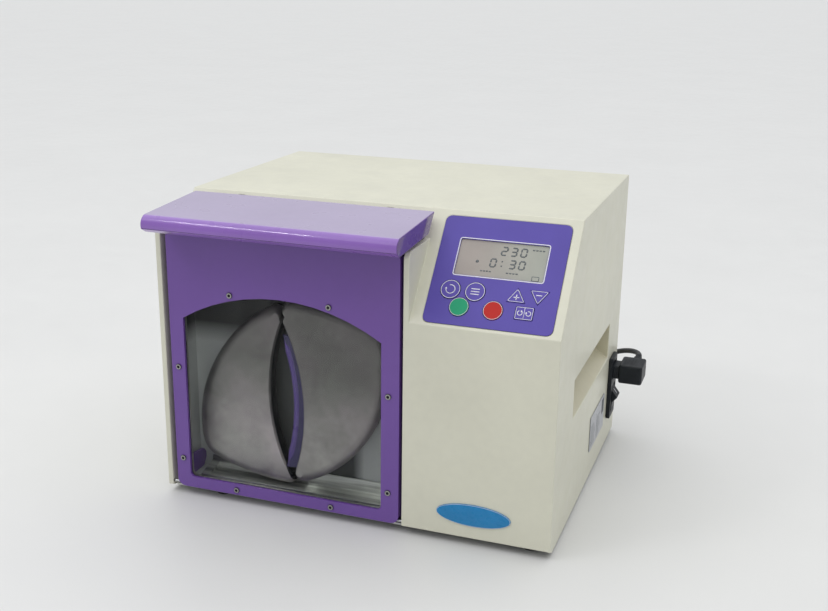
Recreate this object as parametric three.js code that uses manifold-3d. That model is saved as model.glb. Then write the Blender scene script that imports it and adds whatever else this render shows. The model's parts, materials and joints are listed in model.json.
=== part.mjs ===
// Bench-top paddle blender for sample bags, as a set of separate solids.
// Millimetres, +Z up, front towards -Y, the control panel on the +X side.
// Origin: middle of the footprint of the bare machine, on the bench.

import * as THREE from 'three';
import { mergeVertices } from 'three/addons/utils/BufferGeometryUtils.js';
import Module from 'manifold-3d';

const wasm = await Module();
wasm.setup();

// ---------------------------------------------------------------- driving dimensions
const GAP = 0.3;                 // clearance between touching pieces
const LEFT = -205.5;             // outer face of the left panel
const RIGHT = 194.5;             // outer face of the control side
const FRONT = -143;              // door and fascia plane
const BACK = 181;                // rear edge of the cover
const BASE = 8.5;                // lower edge of the cover
const TOP = 304;                 // top of the cover
const SLOPE_LOW = 213;           // height where the sloped panel leaves the fascia
const SLOPE_BACK = -66;          // depth where the sloped panel meets the top
const SHEET = 2.5;               // cover sheet
const PANEL = 5.5;               // hemmed side walls beside the door
const CHEEK_X = 49.1;            // door-side face of the right cheek
const CHEEK_TOP = 279;           // top edge of both cheeks
const CHEEK_REAR = -55;          // rear edge of the right cheek inside the housing
const CHEEK_ROUND = 8;           // rounding of the cheeks' top front corners
const FOOT = { low: 8.6, high: 9.6, stem: 3, top: 5.5 };
const PLATE_LOW = 5.8;           // base plate, under the whole machine
const PLATE_TOP = 8;
const PLATE_SETBACK = 6;         // clears the screw heads of the open door
const VENTS = { columns: 3, rows: 6, x: 60, z: 190, stepX: 34, stepZ: 12, wide: 26, high: 5 };
const SKIRT = { low: 4, setback: 9 };  // the side sheets run down past the base plate
const FEET = [['foot_front_left', -152, -122], ['foot_front_right', 172, -122],
  ['foot_rear_left', -152, 155], ['foot_rear_right', 172, 155]];

const DOOR = { x0: -194, x1: 46, z0: 9.5, z1: 278, depth: 22, skin: 3, round: 8 };
const GUSSET = [[-122, 12], [-122, 34], [-96, 31], [-91.5, 26], [-91.5, 20], [-97, 12]];
const DOOR_HINGE = { y: FRONT + 3, z: 12.2, pin: 1.3 };
const WINDOW = { x: -75.5, half: 103.6, z0: 21, shoulder: 190.5, apex: 220, glass: 4 };
const SCREW_OFFSETS = [[-51.4, 218.8], [51.4, 218.8], [-110.8, 139], [-110.8, 40.8],
  [-51.4, 14.9], [51.4, 14.9], [110.8, 139], [110.8, 40.8]];

const HOOD = { x0: -196, x1: 56.6, wall: 4 };
const HOOD_NOSE = { y: -171.5, z: 289.1, radius: 9.5 };
const HOOD_REAR = [[-96.5, 285.2], [-80, 303.5]];             // lower and upper edge of its rear face
const HOOD_HOLLOW = [[-165, 278], [-165, 294.8], [-98, 298], [-104, 278]];
const HOOD_PIVOT = { y: -64, z: 292, rod: 3, hub: 7 };
const HOOD_ARM_X = [-150, 8];
const HOOD_ARM = { half: 3, above: 2, below: 5, slot: 4.5, s0: 95, s1: 115 };

const CHAMBER = { x0: -199, x1: 47.5, wall: 2, front: -120.4, rear: -90 };

const TRAY = {
  x0: -181, x1: 40, leftEnd: 9, rightEnd: 2,
  profile: [[-118.5, 10.6], [-118.5, 13.8], [-117.3, 13.8], [-116.6, 11.8], [-96, 11.8], [-93.4, 24],
    [-92, 24], [-94.4, 10.6]],
  end: [[-118.5, 10.6], [-118.5, 13.8], [-92.9, 19.5], [-94.4, 10.6]],
};

const PADDLE = { x: -78.5, z: 115, thick: 14, rim: 6, shaft: 55 };
// Each paddle's outline is given as the left one's; the right one is then turned half round.
const LEFT_PADDLE = { bow: { radius: 200, x: -21.5, z: 0, low: -76, high: 74 }, back: -66, rear: -105 };
const RIGHT_PADDLE = { bow: { radius: 205, x: -18.4, z: 12, low: -78, high: 73 }, back: -74, rear: -107.5 };
const RIM = { radius: 195, x: 6.5, z: -8, low: -74, high: 62, inner: 24, front: 5, thick: 5 };
const RIGHT_PADDLE_FACE = -127.5;
const STROKE = 12;
const THROW = STROKE / 2;
const CRANK = { y: -36, z: PADDLE.z, shaft: 6, cam: 14, camWidth: 12 };
const YOKE = { slotY: 16.2, slotZ: 21, outY: 22, outZ: 27, width: 10 };
const BUSH = { hole: 6.3, barrel: 10, flange: 13 };
const FRAME = { y0: -80, y1: -74 };
const PULLEY_X = [59.5, 71.5];
const CRANK_PULLEY_R = 32.5;
const MOTOR = { y: 64, z: 62, radius: 38, x0: 82, x1: 158, pulley: 13 };

const LABEL = { x0: 66, x1: 185.5, s0: 3.5, s1: 112.5, round: 6, low: -0.7, high: 0.4 };
const LCD = { x0: 83.8, x1: 169.3, s0: 52, s1: 91 };
const KEY_FACE = 1;
const KEY_FOOT = -6;

const RECESS = { y0: -70, y1: 117, z0: 111, z1: 151, deep: 26, ramp: 17 };
const INLET = { y0: 126, y1: 156, z0: 36, z1: 107, flange: 4.5, socket: [81.5, 100], window: [42, 73] };
const ROCKER = [[185.5, 44], [185.5, 70.5], [197.5, 70.5], [205.5, 60], [200, 54], [199.5, 44]];
const IEC_PLUG = { x0: RIGHT + 11, x1: RIGHT + 37, y0: 126, y1: 160, z0: 80, z1: 101 };
const CORD_R = 3;
const CORD_EXIT = { x: RIGHT + 25, z: 94 };
const COIL = { x: 60, y: 250, inner: 19.4, outer: 46.6, z0: 0.2, z1: 12.8 };
const CORD_LINE = 206.4;         // the cord lies along this line behind the machine
const MAINS_PLUG_X = -78;

// ---------------------------------------------------------------- solids
function toSolid(geometry) {
  const bare = geometry.clone();
  bare.deleteAttribute('normal');
  bare.deleteAttribute('uv');
  const merged = mergeVertices(bare, 1e-4);
  return new wasm.Manifold(new wasm.Mesh({
    numProp: 3,
    vertProperties: new Float32Array(merged.attributes.position.array),
    triVerts: new Uint32Array(merged.index.array),
  }));
}

function toGeometry(solid) {
  const { vertProperties, triVerts } = solid.getMesh();
  const geometry = new THREE.BufferGeometry();
  geometry.setAttribute('position', new THREE.BufferAttribute(vertProperties, 3));
  geometry.setIndex(new THREE.BufferAttribute(triVerts, 1));
  geometry.computeVertexNormals();
  return geometry;
}

const X = new THREE.Vector3(1, 0, 0);
const Y = new THREE.Vector3(0, 1, 0);
const Z = new THREE.Vector3(0, 0, 1);
const ALONG_X = new THREE.Matrix4().makeBasis(Y, Z, X);              // profile in (y, z)
const ALONG_Y = new THREE.Matrix4().makeBasis(X, Z, Y.clone().negate()); // profile in (x, z)

const SLOPE_ANGLE = Math.atan2(TOP - SLOPE_LOW, SLOPE_BACK - FRONT);
const SLOPE_UP = new THREE.Vector3(0, Math.cos(SLOPE_ANGLE), Math.sin(SLOPE_ANGLE));
const SLOPE_OUT = new THREE.Vector3(0, -Math.sin(SLOPE_ANGLE), Math.cos(SLOPE_ANGLE));
const ON_SLOPE = new THREE.Matrix4().makeBasis(X, SLOPE_UP, SLOPE_OUT)
  .setPosition(0, FRONT, SLOPE_LOW);                                 // profile in (x, up the slope)

function box(x0, x1, y0, y1, z0, z1) {
  const geometry = new THREE.BoxGeometry(x1 - x0, y1 - y0, z1 - z0);
  return toSolid(geometry.translate((x0 + x1) / 2, (y0 + y1) / 2, (z0 + z1) / 2));
}

function polygon(points) {
  return new THREE.Shape(points.map(([u, v]) => new THREE.Vector2(u, v)));
}

function extrude(shape, depth, segments = 2) {
  return new THREE.ExtrudeGeometry(shape, { depth, bevelEnabled: false, curveSegments: segments });
}

function alongX(shape, x0, x1, segments) {
  return toSolid(extrude(shape, x1 - x0, segments).applyMatrix4(ALONG_X).translate(x0, 0, 0));
}

function alongY(shape, y0, y1, segments) {
  return toSolid(extrude(shape, y1 - y0, segments).applyMatrix4(ALONG_Y).translate(0, y1, 0));
}

function onSlope(shape, w0, w1, segments) {
  return toSolid(extrude(shape, w1 - w0, segments).translate(0, 0, w0).applyMatrix4(ON_SLOPE));
}

function disc(u, v, radius) {
  return new THREE.Shape().absarc(u, v, radius, 0, 2 * Math.PI);
}

function rodX(x0, x1, y, z, radius, segments = 8) {
  return alongX(disc(y, z, radius), x0, x1, segments);
}

function rodY(y0, y1, x, z, radius, segments = 8) {
  return alongY(disc(x, z, radius), y0, y1, segments);
}

function rodZ(z0, z1, x, y, radius, segments = 8) {
  return toSolid(extrude(disc(x, y, radius), z1 - z0, segments).translate(0, 0, z0));
}

function roundedRectangle(u0, u1, v0, v1, radius) {
  const shape = new THREE.Shape();
  shape.absarc(u1 - radius, v0 + radius, radius, -Math.PI / 2, 0);
  shape.absarc(u1 - radius, v1 - radius, radius, 0, Math.PI / 2);
  shape.absarc(u0 + radius, v1 - radius, radius, Math.PI / 2, Math.PI);
  shape.absarc(u0 + radius, v0 + radius, radius, Math.PI, Math.PI * 1.5);
  return shape;
}

function unite(parts) {
  return parts.reduce((sum, part) => sum.add(part));
}

function cutAll(body, tools) {
  return tools.reduce((left, tool) => left.subtract(tool), body);
}

// ---------------------------------------------------------------- materials and nodes
const FINISH = {
  cream: ['#dedccb', 0.45, 0],
  purple: ['#70529a', 0.3, 0.1],
  liner: ['#8f948f', 0.5, 0.2],
  steel: ['#a9abad', 0.35, 0.9],
  zinc: ['#8d9196', 0.45, 0.8],
  paddle: ['#86857f', 0.4, 0.8],
  glass: ['#cfdcd8', 0.05, 0],
  label: ['#5a4ca0', 0.35, 0],
  green: ['#31a374', 0.4, 0],
  red: ['#c23a3a', 0.4, 0],
  screen: ['#a7ad9c', 0.2, 0],
  board: ['#1d5c3a', 0.6, 0],
  badge: ['#2486c4', 0.3, 0.2],
  silver: ['#b9bbc0', 0.4, 0.5],
  black: ['#23282d', 0.6, 0],
  rubber: ['#1c1c1d', 0.9, 0],
  bronze: ['#b08b4f', 0.45, 0.8],
};

const machine = new THREE.Group();

function place(name, finish, geometryOrSolid) {
  const [color, roughness, metalness] = FINISH[finish];
  const geometry = geometryOrSolid.isBufferGeometry ? geometryOrSolid : toGeometry(geometryOrSolid);
  const mesh = new THREE.Mesh(geometry, new THREE.MeshStandardMaterial({ color, roughness, metalness }));
  mesh.name = name;
  machine.add(mesh);
  return mesh;
}

// ---------------------------------------------------------------- housing
const slopeY = (z) => FRONT + (z - SLOPE_LOW) / Math.tan(SLOPE_ANGLE);

function housingProfile(inset, low, rear) {
  const lift = inset * Math.tan((Math.PI / 2 - SLOPE_ANGLE) / 2);
  const drop = inset * Math.tan(SLOPE_ANGLE / 2);
  return polygon([[FRONT + inset, low], [FRONT + inset, SLOPE_LOW - lift],
    [SLOPE_BACK + drop, TOP - inset], [rear, TOP - inset], [rear, low]]);
}

function cheek(x0, x1) {
  const shape = new THREE.Shape();
  shape.moveTo(slopeY(CHEEK_TOP) + 2, CHEEK_TOP);
  shape.lineTo(FRONT + CHEEK_ROUND, CHEEK_TOP);
  shape.absarc(FRONT + CHEEK_ROUND, CHEEK_TOP - CHEEK_ROUND, CHEEK_ROUND, Math.PI / 2, Math.PI);
  shape.lineTo(FRONT, BASE);
  shape.lineTo(slopeY(CHEEK_TOP) + 2, BASE);
  return alongX(shape, x0, x1);
}

// The hand recess: a flat roof, a back wall and a ramp that comes out to the face of the side.
function recessShape(face, wall) {
  const { z0, z1, deep, ramp } = RECESS;
  const rise = ramp / deep;
  const back = RIGHT - deep - wall;
  const drop = wall * Math.hypot(1, rise);
  return polygon([[face, z1 + wall], [back, z1 + wall], [back, z0 + rise * (RIGHT - back) - drop],
    [face, z0 + rise * (RIGHT - face) - drop]]);
}

function outerCover() {
  const inside = alongX(housingProfile(SHEET, BASE - 1, BACK + 1), LEFT + PANEL, RIGHT - SHEET);
  let cover = alongX(housingProfile(0, BASE, BACK), LEFT, RIGHT).subtract(inside);
  const doorBay = box(LEFT + PANEL, CHEEK_X, FRONT - 1, slopeY(CHEEK_TOP) + 3, BASE - 1, CHEEK_TOP);
  cover = cover.subtract(doorBay);
  const inner = alongX(housingProfile(1, BASE, BACK), CHEEK_X, CHEEK_X + PANEL);
  const partition = inner.intersect(box(CHEEK_X, CHEEK_X + PANEL, FRONT, CHEEK_REAR, BASE, TOP));
  cover = unite([cover, cheek(LEFT, LEFT + PANEL), cheek(CHEEK_X, CHEEK_X + PANEL), partition]);

  cover = cover.add(alongY(recessShape(RIGHT - SHEET, SHEET), RECESS.y0 - SHEET, RECESS.y1 + SHEET));
  const skirt = polygon([[FRONT, BASE + 1], [FRONT, BASE], [FRONT + SKIRT.setback, SKIRT.low],
    [BACK, SKIRT.low], [BACK, BASE + 1]]);
  cover = unite([cover, alongX(skirt, LEFT, LEFT + SHEET), alongX(skirt, RIGHT - SHEET, RIGHT)]);
  const tools = [alongY(recessShape(RIGHT + 1, 0), RECESS.y0, RECESS.y1)];
  tools.push(box(RIGHT - 6, RIGHT + 1, INLET.y0 + 1.5, INLET.y1 - 1.5, INLET.z0 + 1.5, INLET.z1 - 1.5));
  for (const x of HOOD_ARM_X) {
    tools.push(onSlope(roundedRectangle(x - HOOD_ARM.slot, x + HOOD_ARM.slot, HOOD_ARM.s0, HOOD_ARM.s1, 2),
      -6, 2));
  }
  tools.push(rodX(LEFT + PANEL - 3, CHEEK_X + 3, HOOD_PIVOT.y, HOOD_PIVOT.z, HOOD_PIVOT.rod + GAP));
  tools.push(rodX(LEFT + PANEL - 3, CHEEK_X + 3, DOOR_HINGE.y, DOOR_HINGE.z, DOOR_HINGE.pin + GAP));
  tools.push(onSlope(roundedRectangle(LABEL.x0 - GAP, LABEL.x1 + GAP, LABEL.s0 - GAP, LABEL.s1 + GAP,
    LABEL.round), LABEL.low - GAP, 3));
  tools.push(onSlope(roundedRectangle(LABEL.x0 + 8, LABEL.x1 - 6, LABEL.s0 + 7, LABEL.s1 - 14, 3), -8, 3));
  return cutAll(cover, tools);
}

function basePlate() {
  const outline = roundedRectangle(LEFT + SHEET + GAP, RIGHT - SHEET - GAP, FRONT + PLATE_SETBACK,
    BACK - 2, 6);
  const plate = toSolid(extrude(outline, PLATE_TOP - PLATE_LOW).translate(0, 0, PLATE_LOW));
  return cutAll(plate, FEET.map(([, x, y]) => rodZ(PLATE_LOW - 1, PLATE_TOP + 1, x, y, FOOT.stem + GAP)));
}

function foot(x, y) {
  const { low, high, stem } = FOOT;
  const profile = [[0, 0], [low, 0], [high, FOOT.top], [stem, FOOT.top], [stem, PLATE_TOP - GAP],
    [0, PLATE_TOP - GAP]];
  const lathe = new THREE.LatheGeometry(profile.map(([r, h]) => new THREE.Vector2(r, h)), 24);
  return lathe.rotateX(Math.PI / 2).translate(x, y, 0);
}

function rearPanel() {
  const { columns, rows, x, z, stepX, stepZ, wide, high } = VENTS;
  const panel = box(LEFT + PANEL + GAP, RIGHT - SHEET - GAP, BACK - 4, BACK - 2, PLATE_TOP + 1,
    TOP - SHEET - GAP);
  const slots = [];
  for (let column = 0; column < columns; column += 1) {
    for (let row = 0; row < rows; row += 1) {
      const left = x + column * stepX;
      const foot = z + row * stepZ;
      slots.push(box(left, left + wide, BACK - 5, BACK - 1, foot, foot + high));
    }
  }
  return cutAll(panel, slots);
}

place('outer_cover', 'cream', outerCover());
place('base_plate', 'zinc', basePlate());
place('rear_panel', 'cream', rearPanel());
for (const [name, x, y] of FEET) place(name, 'rubber', foot(x, y));

// ---------------------------------------------------------------- chamber
const shaftX = [PADDLE.x - PADDLE.shaft, PADDLE.x + PADDLE.shaft];

function chamberLiner() {
  const { x0, x1, wall, front, rear } = CHAMBER;
  const shell = box(x0, x1, front, rear + wall, PLATE_TOP + GAP, 276);
  const hollow = box(x0 + wall, x1 - wall, front - 1, rear, PLATE_TOP + GAP + wall, 277);
  return cutAll(shell, [hollow,
    ...shaftX.map((x) => rodY(rear - 1, rear + wall + 1, x, PADDLE.z, BUSH.barrel + GAP))]);
}

function dripTray() {
  const { x0, x1, leftEnd, rightEnd, profile, end } = TRAY;
  return unite([alongX(polygon(profile), x0, x1), alongX(polygon(end), x0, x0 + leftEnd),
    alongX(polygon(end), x1 - rightEnd, x1)]);
}

place('chamber_liner', 'liner', chamberLiner());
place('drip_tray', 'steel', dripTray());

// ---------------------------------------------------------------- door
function windowOutline(grow) {
  const { x, half, z0, shoulder, apex } = WINDOW;
  const rise = apex - shoulder;
  const radius = (half * half + rise * rise) / (2 * rise) + grow;
  const centre = apex + grow - radius;
  const edge = half + grow;
  const top = centre + Math.sqrt(radius * radius - edge * edge);
  const start = Math.atan2(top - centre, edge);
  const corner = 5;
  const shape = new THREE.Shape();
  shape.absarc(x + edge - corner, z0 - grow + corner, corner, -Math.PI / 2, 0);
  shape.absarc(x, centre, radius, start, Math.PI - start);
  shape.absarc(x - edge + corner, z0 - grow + corner, corner, Math.PI, Math.PI * 1.5);
  return shape;
}

function screwHoles(y0, y1) {
  return SCREW_OFFSETS.map(([dx, z]) => rodY(y0, y1, WINDOW.x + dx, z, 1.8, 6));
}

function doorPanel() {
  const rear = FRONT + DOOR.depth;
  const skin = FRONT + DOOR.skin;
  const outer = roundedRectangle(DOOR.x0, DOOR.x1, DOOR.z0, DOOR.z1, DOOR.round);
  const inner = roundedRectangle(DOOR.x0 + DOOR.skin, DOOR.x1 - DOOR.skin, DOOR.z0 + DOOR.skin,
    DOOR.z1 - DOOR.skin, DOOR.round - DOOR.skin);
  let door = alongY(outer, FRONT, rear).subtract(alongY(inner, skin, rear + 1));
  for (const x of [DOOR.x0 + 1, DOOR.x1 - DOOR.skin - 1]) {
    door = door.add(alongX(polygon(GUSSET), x, x + DOOR.skin));
  }
  const hole = [DOOR_HINGE.y, DOOR_HINGE.z, DOOR_HINGE.pin + GAP];
  return cutAll(door, [alongY(windowOutline(0), FRONT - 1, skin + 1, 6),
    rodX(DOOR.x0 - 1, DOOR.x0 + 4, ...hole), rodX(DOOR.x1 - 4, DOOR.x1 + 1, ...hole),
    ...screwHoles(FRONT - 1, skin + 1)]);
}

function doorScrew(x, z) {
  const profile = [[0, -10], [1.5, -10], [1.5, GAP], [3, GAP], [3, 0.8], [2.5, 1.5], [1.2, 1.5],
    [1.2, 0.7], [0, 0.7]];
  const lathe = new THREE.LatheGeometry(profile.map(([r, h]) => new THREE.Vector2(r, h)), 12);
  return lathe.rotateX(Math.PI).translate(x, FRONT, z);
}

function glassBlank(y0, y1) {
  const inset = DOOR.skin + GAP;
  const bay = roundedRectangle(DOOR.x0 + inset, DOOR.x1 - inset, DOOR.z0 + inset, DOOR.z1 - inset,
    DOOR.round - inset);
  return alongY(windowOutline(11), y0, y1, 6).intersect(alongY(bay, y0 - 1, y1 + 1));
}

function doorWindow() {
  const y0 = FRONT + DOOR.skin + GAP;
  const y1 = y0 + WINDOW.glass;
  return cutAll(glassBlank(y0, y1), screwHoles(y0 - 1, y1 + 1));
}

function windowFrame() {
  const y0 = FRONT + DOOR.skin + WINDOW.glass + 2 * GAP;
  const y1 = y0 + 2;
  return cutAll(glassBlank(y0, y1), [alongY(windowOutline(1), y0 - 1, y1 + 1, 6),
    ...screwHoles(y0 - 1, y1 + 1)]);
}

place('door_panel', 'purple', doorPanel());
place('door_window', 'glass', doorWindow());
place('window_frame', 'zinc', windowFrame());
SCREW_OFFSETS.forEach(([dx, z], index) => {
  place(`window_screw_${index + 1}`, 'steel', doorScrew(WINDOW.x + dx, z));
});
place('door_pin_left', 'steel',
  rodX(LEFT + PANEL - 2.7, DOOR.x0 + 3.4, DOOR_HINGE.y, DOOR_HINGE.z, DOOR_HINGE.pin, 6));
place('door_pin_right', 'steel',
  rodX(DOOR.x1 - 3.4, CHEEK_X + 2.7, DOOR_HINGE.y, DOOR_HINGE.z, DOOR_HINGE.pin, 6));

// ---------------------------------------------------------------- hood, which is also the handle
function hoodOuter() {
  const { y, z, radius } = HOOD_NOSE;
  const shape = new THREE.Shape();
  shape.moveTo(...HOOD_REAR[0]);
  shape.lineTo(...HOOD_REAR[1]);
  shape.absarc(y, z, radius, Math.PI * 0.48, Math.PI);
  shape.absarc(y, z, radius, Math.PI, Math.PI * 1.12);
  shape.lineTo(y - 2, z - 0.8 * radius);
  return shape;
}

function handleHood() {
  return alongX(hoodOuter(), HOOD.x0, HOOD.x1, 4)
    .subtract(alongX(polygon(HOOD_HOLLOW), HOOD.x0 + HOOD.wall, HOOD.x1 - HOOD.wall));
}

function hoodArm(x) {
  const { y, z, rod, hub } = HOOD_PIVOT;
  const { half, above, below } = HOOD_ARM;
  const [[lowY, lowZ], [highY, highZ]] = HOOD_REAR;
  const faceY = (height) => lowY + (height - lowZ) * (highY - lowY) / (highZ - lowZ) + 1.4 * GAP;
  const bar = polygon([[faceY(z - below), z - below], [faceY(z + above), z + above], [y, z + above],
    [y, z - below]]);
  return unite([rodX(x - half, x + half, y, z, hub), alongX(bar, x - half, x + half)])
    .subtract(rodX(x - half - 1, x + half + 1, y, z, rod + GAP));
}

place('handle_hood', 'purple', handleHood());
['hood_arm_left', 'hood_arm_right'].forEach((name, index) => {
  place(name, 'zinc', hoodArm(HOOD_ARM_X[index]));
});
place('hood_hinge_rod', 'steel',
  rodX(LEFT + PANEL - 2.7, CHEEK_X + 2.7, HOOD_PIVOT.y, HOOD_PIVOT.z, HOOD_PIVOT.rod, 10));

// ---------------------------------------------------------------- paddles
// Outline of a paddle about the middle of the pair.
function paddleOutline({ bow, back, rear }, turned) {
  const shape = new THREE.Shape();
  const { radius, x, z, low, high } = bow;
  shape.absarc(-6.5, -90, 9.5, -Math.PI / 2, Math.PI / 4);
  shape.absarc(radius + x, z, radius, Math.PI + Math.asin((z - low) / radius),
    Math.PI - Math.asin((high - z) / radius), true);
  shape.absarc(-17.5, 79, 9.3, -Math.PI / 12, Math.PI * 0.66);
  shape.bezierCurveTo(back, 66, rear, 10, rear, -43);
  shape.bezierCurveTo(rear, -68, -102, -78, -84, -84.5);
  shape.bezierCurveTo(-64, -92, -36, -99.5, -6.5, -99.5);
  const sign = turned ? -1 : 1;
  return new THREE.Shape(shape.getPoints(6).map((p) => new THREE.Vector2(
    PADDLE.x + sign * p.x, PADDLE.z + sign * p.y)));
}

function paddle(face, outline, turned) {
  const { thick, rim } = PADDLE;
  const geometry = new THREE.ExtrudeGeometry(paddleOutline(outline, turned), { depth: thick - 2 * rim,
    bevelThickness: rim, bevelSize: rim, bevelOffset: -rim, bevelSegments: 2 });
  return toSolid(geometry.applyMatrix4(ALONG_Y).translate(0, face + thick - rim, 0));
}

// The curved edge that stands out of the right paddle's hollow side.
function paddleRim(face) {
  const { radius, x, z, low, high, inner, front, thick } = RIM;
  const shape = new THREE.Shape();
  shape.absarc(PADDLE.x + x - radius, PADDLE.z + z, radius, -Math.asin((z - low) / radius),
    Math.asin((high - z) / radius));
  shape.lineTo(PADDLE.x + inner, PADDLE.z + high);
  shape.lineTo(PADDLE.x + inner, PADDLE.z + low);
  return alongY(shape, face + front, face + front + thick, 8);
}

function paddleShaft(x, face, camY) {
  const back = face + PADDLE.thick + GAP;
  const { slotY, slotZ, outY, outZ, width } = YOKE;
  const half = width / 2;
  const ring = box(x - half, x + half, camY - outY, camY + outY, PADDLE.z - outZ, PADDLE.z + outZ)
    .subtract(box(x - half - 1, x + half + 1, camY - slotY, camY + slotY,
      PADDLE.z - slotZ, PADDLE.z + slotZ));
  return unite([rodY(back, back + 3, x, PADDLE.z, 14), rodY(back, camY - outY + 1, x, PADDLE.z, 6),
    ring]);
}

function shaftBush(x) {
  return unite([rodY(-94, CHAMBER.rear - GAP, x, PADDLE.z, BUSH.flange),
    rodY(-94, -68, x, PADDLE.z, BUSH.barrel)])
    .subtract(rodY(-95, -67, x, PADDLE.z, BUSH.hole));
}

const LEFT_PADDLE_FACE = RIGHT_PADDLE_FACE + STROKE;
place('paddle_left', 'paddle', paddle(LEFT_PADDLE_FACE, LEFT_PADDLE, false));
place('paddle_right', 'paddle',
  paddle(RIGHT_PADDLE_FACE, RIGHT_PADDLE, true).add(paddleRim(RIGHT_PADDLE_FACE)));
place('paddle_shaft_left', 'steel', paddleShaft(shaftX[0], LEFT_PADDLE_FACE, CRANK.y + THROW));
place('paddle_shaft_right', 'steel', paddleShaft(shaftX[1], RIGHT_PADDLE_FACE, CRANK.y - THROW));
place('shaft_bush_left', 'bronze', shaftBush(shaftX[0]));
place('shaft_bush_right', 'bronze', shaftBush(shaftX[1]));

// ---------------------------------------------------------------- drive
function driveFrame() {
  const { y0, y1 } = FRAME;
  const low = PLATE_TOP + GAP;
  const plate = box(-190, 42, y0, y1, low, 205).add(box(-190, 42, y0, -30, low, low + 4));
  return cutAll(plate, shaftX.map((x) => rodY(y0 - 1, y1 + 1, x, PADDLE.z, BUSH.barrel + GAP)));
}

function crankBearing(x) {
  const { y, z, shaft } = CRANK;
  const block = box(x - 6, x + 6, FRAME.y1 + GAP, y, z - 18, z + 18);
  return unite([block, rodX(x - 6, x + 6, y, z, 16)])
    .subtract(rodX(x - 7, x + 7, y, z, shaft + GAP));
}

function crankshaft() {
  const { y, z, shaft, cam, camWidth } = CRANK;
  const cams = shaftX.map((x, index) => rodX(x - camWidth / 2, x + camWidth / 2,
    y + (index === 0 ? THROW : -THROW), z, cam, 12));
  return unite([rodX(-178, PULLEY_X[1] + 2, y, z, shaft), ...cams]);
}

function pulley(y, z, radius, bore) {
  const [x0, x1] = PULLEY_X;
  const rim = radius + 3;
  const profile = [[bore, x0], [rim, x0], [rim, x0 + 1.5], [radius, x0 + 2], [radius, x1 - 2],
    [rim, x1 - 1.5], [rim, x1], [bore, x1], [bore, x0]];
  const lathe = new THREE.LatheGeometry(profile.map(([r, h]) => new THREE.Vector2(r, h)), 24);
  return lathe.rotateZ(-Math.PI / 2).translate(0, y, z);
}

function driveBelt() {
  const from = new THREE.Vector2(CRANK.y, CRANK.z);
  const to = new THREE.Vector2(MOTOR.y, MOTOR.z);
  const reach = to.clone().sub(from);
  const heading = reach.angle();
  const lap = Math.acos((CRANK_PULLEY_R - MOTOR.pulley) / reach.length());
  const loop = (grow) => {
    const shape = new THREE.Shape();
    shape.absarc(to.x, to.y, MOTOR.pulley + grow, heading - lap, heading + lap);
    shape.absarc(from.x, from.y, CRANK_PULLEY_R + grow, heading + lap,
      heading - lap + 2 * Math.PI);
    return shape;
  };
  const [x0, x1] = [PULLEY_X[0] + 2.5, PULLEY_X[1] - 2.5];
  return alongX(loop(2.3), x0, x1, 10).subtract(alongX(loop(GAP), x0 - 1, x1 + 1, 10));
}

function motorBody() {
  const { y, z, radius, x0, x1 } = MOTOR;
  const foot = box(x0 + 12, x1 - 12, y - 30, y + 30, PLATE_TOP + GAP, z);
  return unite([rodX(x0, x1, y, z, radius, 12), foot, rodX(x0 - 4, x0, y, z, 16)])
    .subtract(rodX(x0 - 5, x0 + 20, y, z, 5));
}

place('drive_frame', 'zinc', driveFrame());
place('crank_bearing_left', 'zinc', crankBearing(-165));
place('crank_bearing_right', 'zinc', crankBearing(28));
place('crankshaft', 'steel', crankshaft());
place('crank_pulley', 'zinc', pulley(CRANK.y, CRANK.z, CRANK_PULLEY_R, CRANK.shaft + GAP));
place('motor_body', 'zinc', motorBody());
place('motor_pulley', 'zinc', unite([toSolid(pulley(MOTOR.y, MOTOR.z, MOTOR.pulley, 4)),
  rodX(PULLEY_X[0] - 2, MOTOR.x0 + 14, MOTOR.y, MOTOR.z, 4.5)]));
place('drive_belt', 'rubber', driveBelt());

// ---------------------------------------------------------------- control panel, on the slope
const KEYS = {
  key_auto: ['label', disc(85.9, 37.5, 9.1)],
  key_program: ['label', disc(109.1, 37.5, 9.1)],
  key_start: ['green', disc(97.3, 21.3, 8.9)],
  key_stop: ['red', disc(128.8, 21.3, 8.9)],
  key_up: ['label', polygon([[139.2, 31.6], [155.8, 31.6], [147.5, 45.2]])],
  key_down: ['label', polygon([[159, 44.8], [167.4, 31.4], [175.8, 44.8]])],
  key_direction: ['label', roundedRectangle(149.3, 165.3, 15.8, 27.9, 1)],
};

function keyHole(shape) {
  const points = shape.getPoints(8);
  const middle = points.reduce((sum, p) => sum.add(p), new THREE.Vector2()).divideScalar(points.length);
  return new THREE.Shape(points.map((p) => {
    const out = p.clone().sub(middle);
    return middle.clone().add(out.multiplyScalar(1 + 2.2 * GAP / out.length()));
  }));
}

function controlLabel() {
  const { x0, x1, s0, s1, round, low, high } = LABEL;
  const sheet = onSlope(roundedRectangle(x0, x1, s0, s1, round), low, high);
  const holes = Object.values(KEYS).map(([, shape]) => onSlope(keyHole(shape), low - 1, high + 1));
  holes.push(onSlope(roundedRectangle(LCD.x0 + 1.2, LCD.x1 - 1.2, LCD.s0 + 1.2, LCD.s1 - 1.2, 1.5),
    low - 1, high + 1));
  return cutAll(sheet, holes);
}

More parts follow.
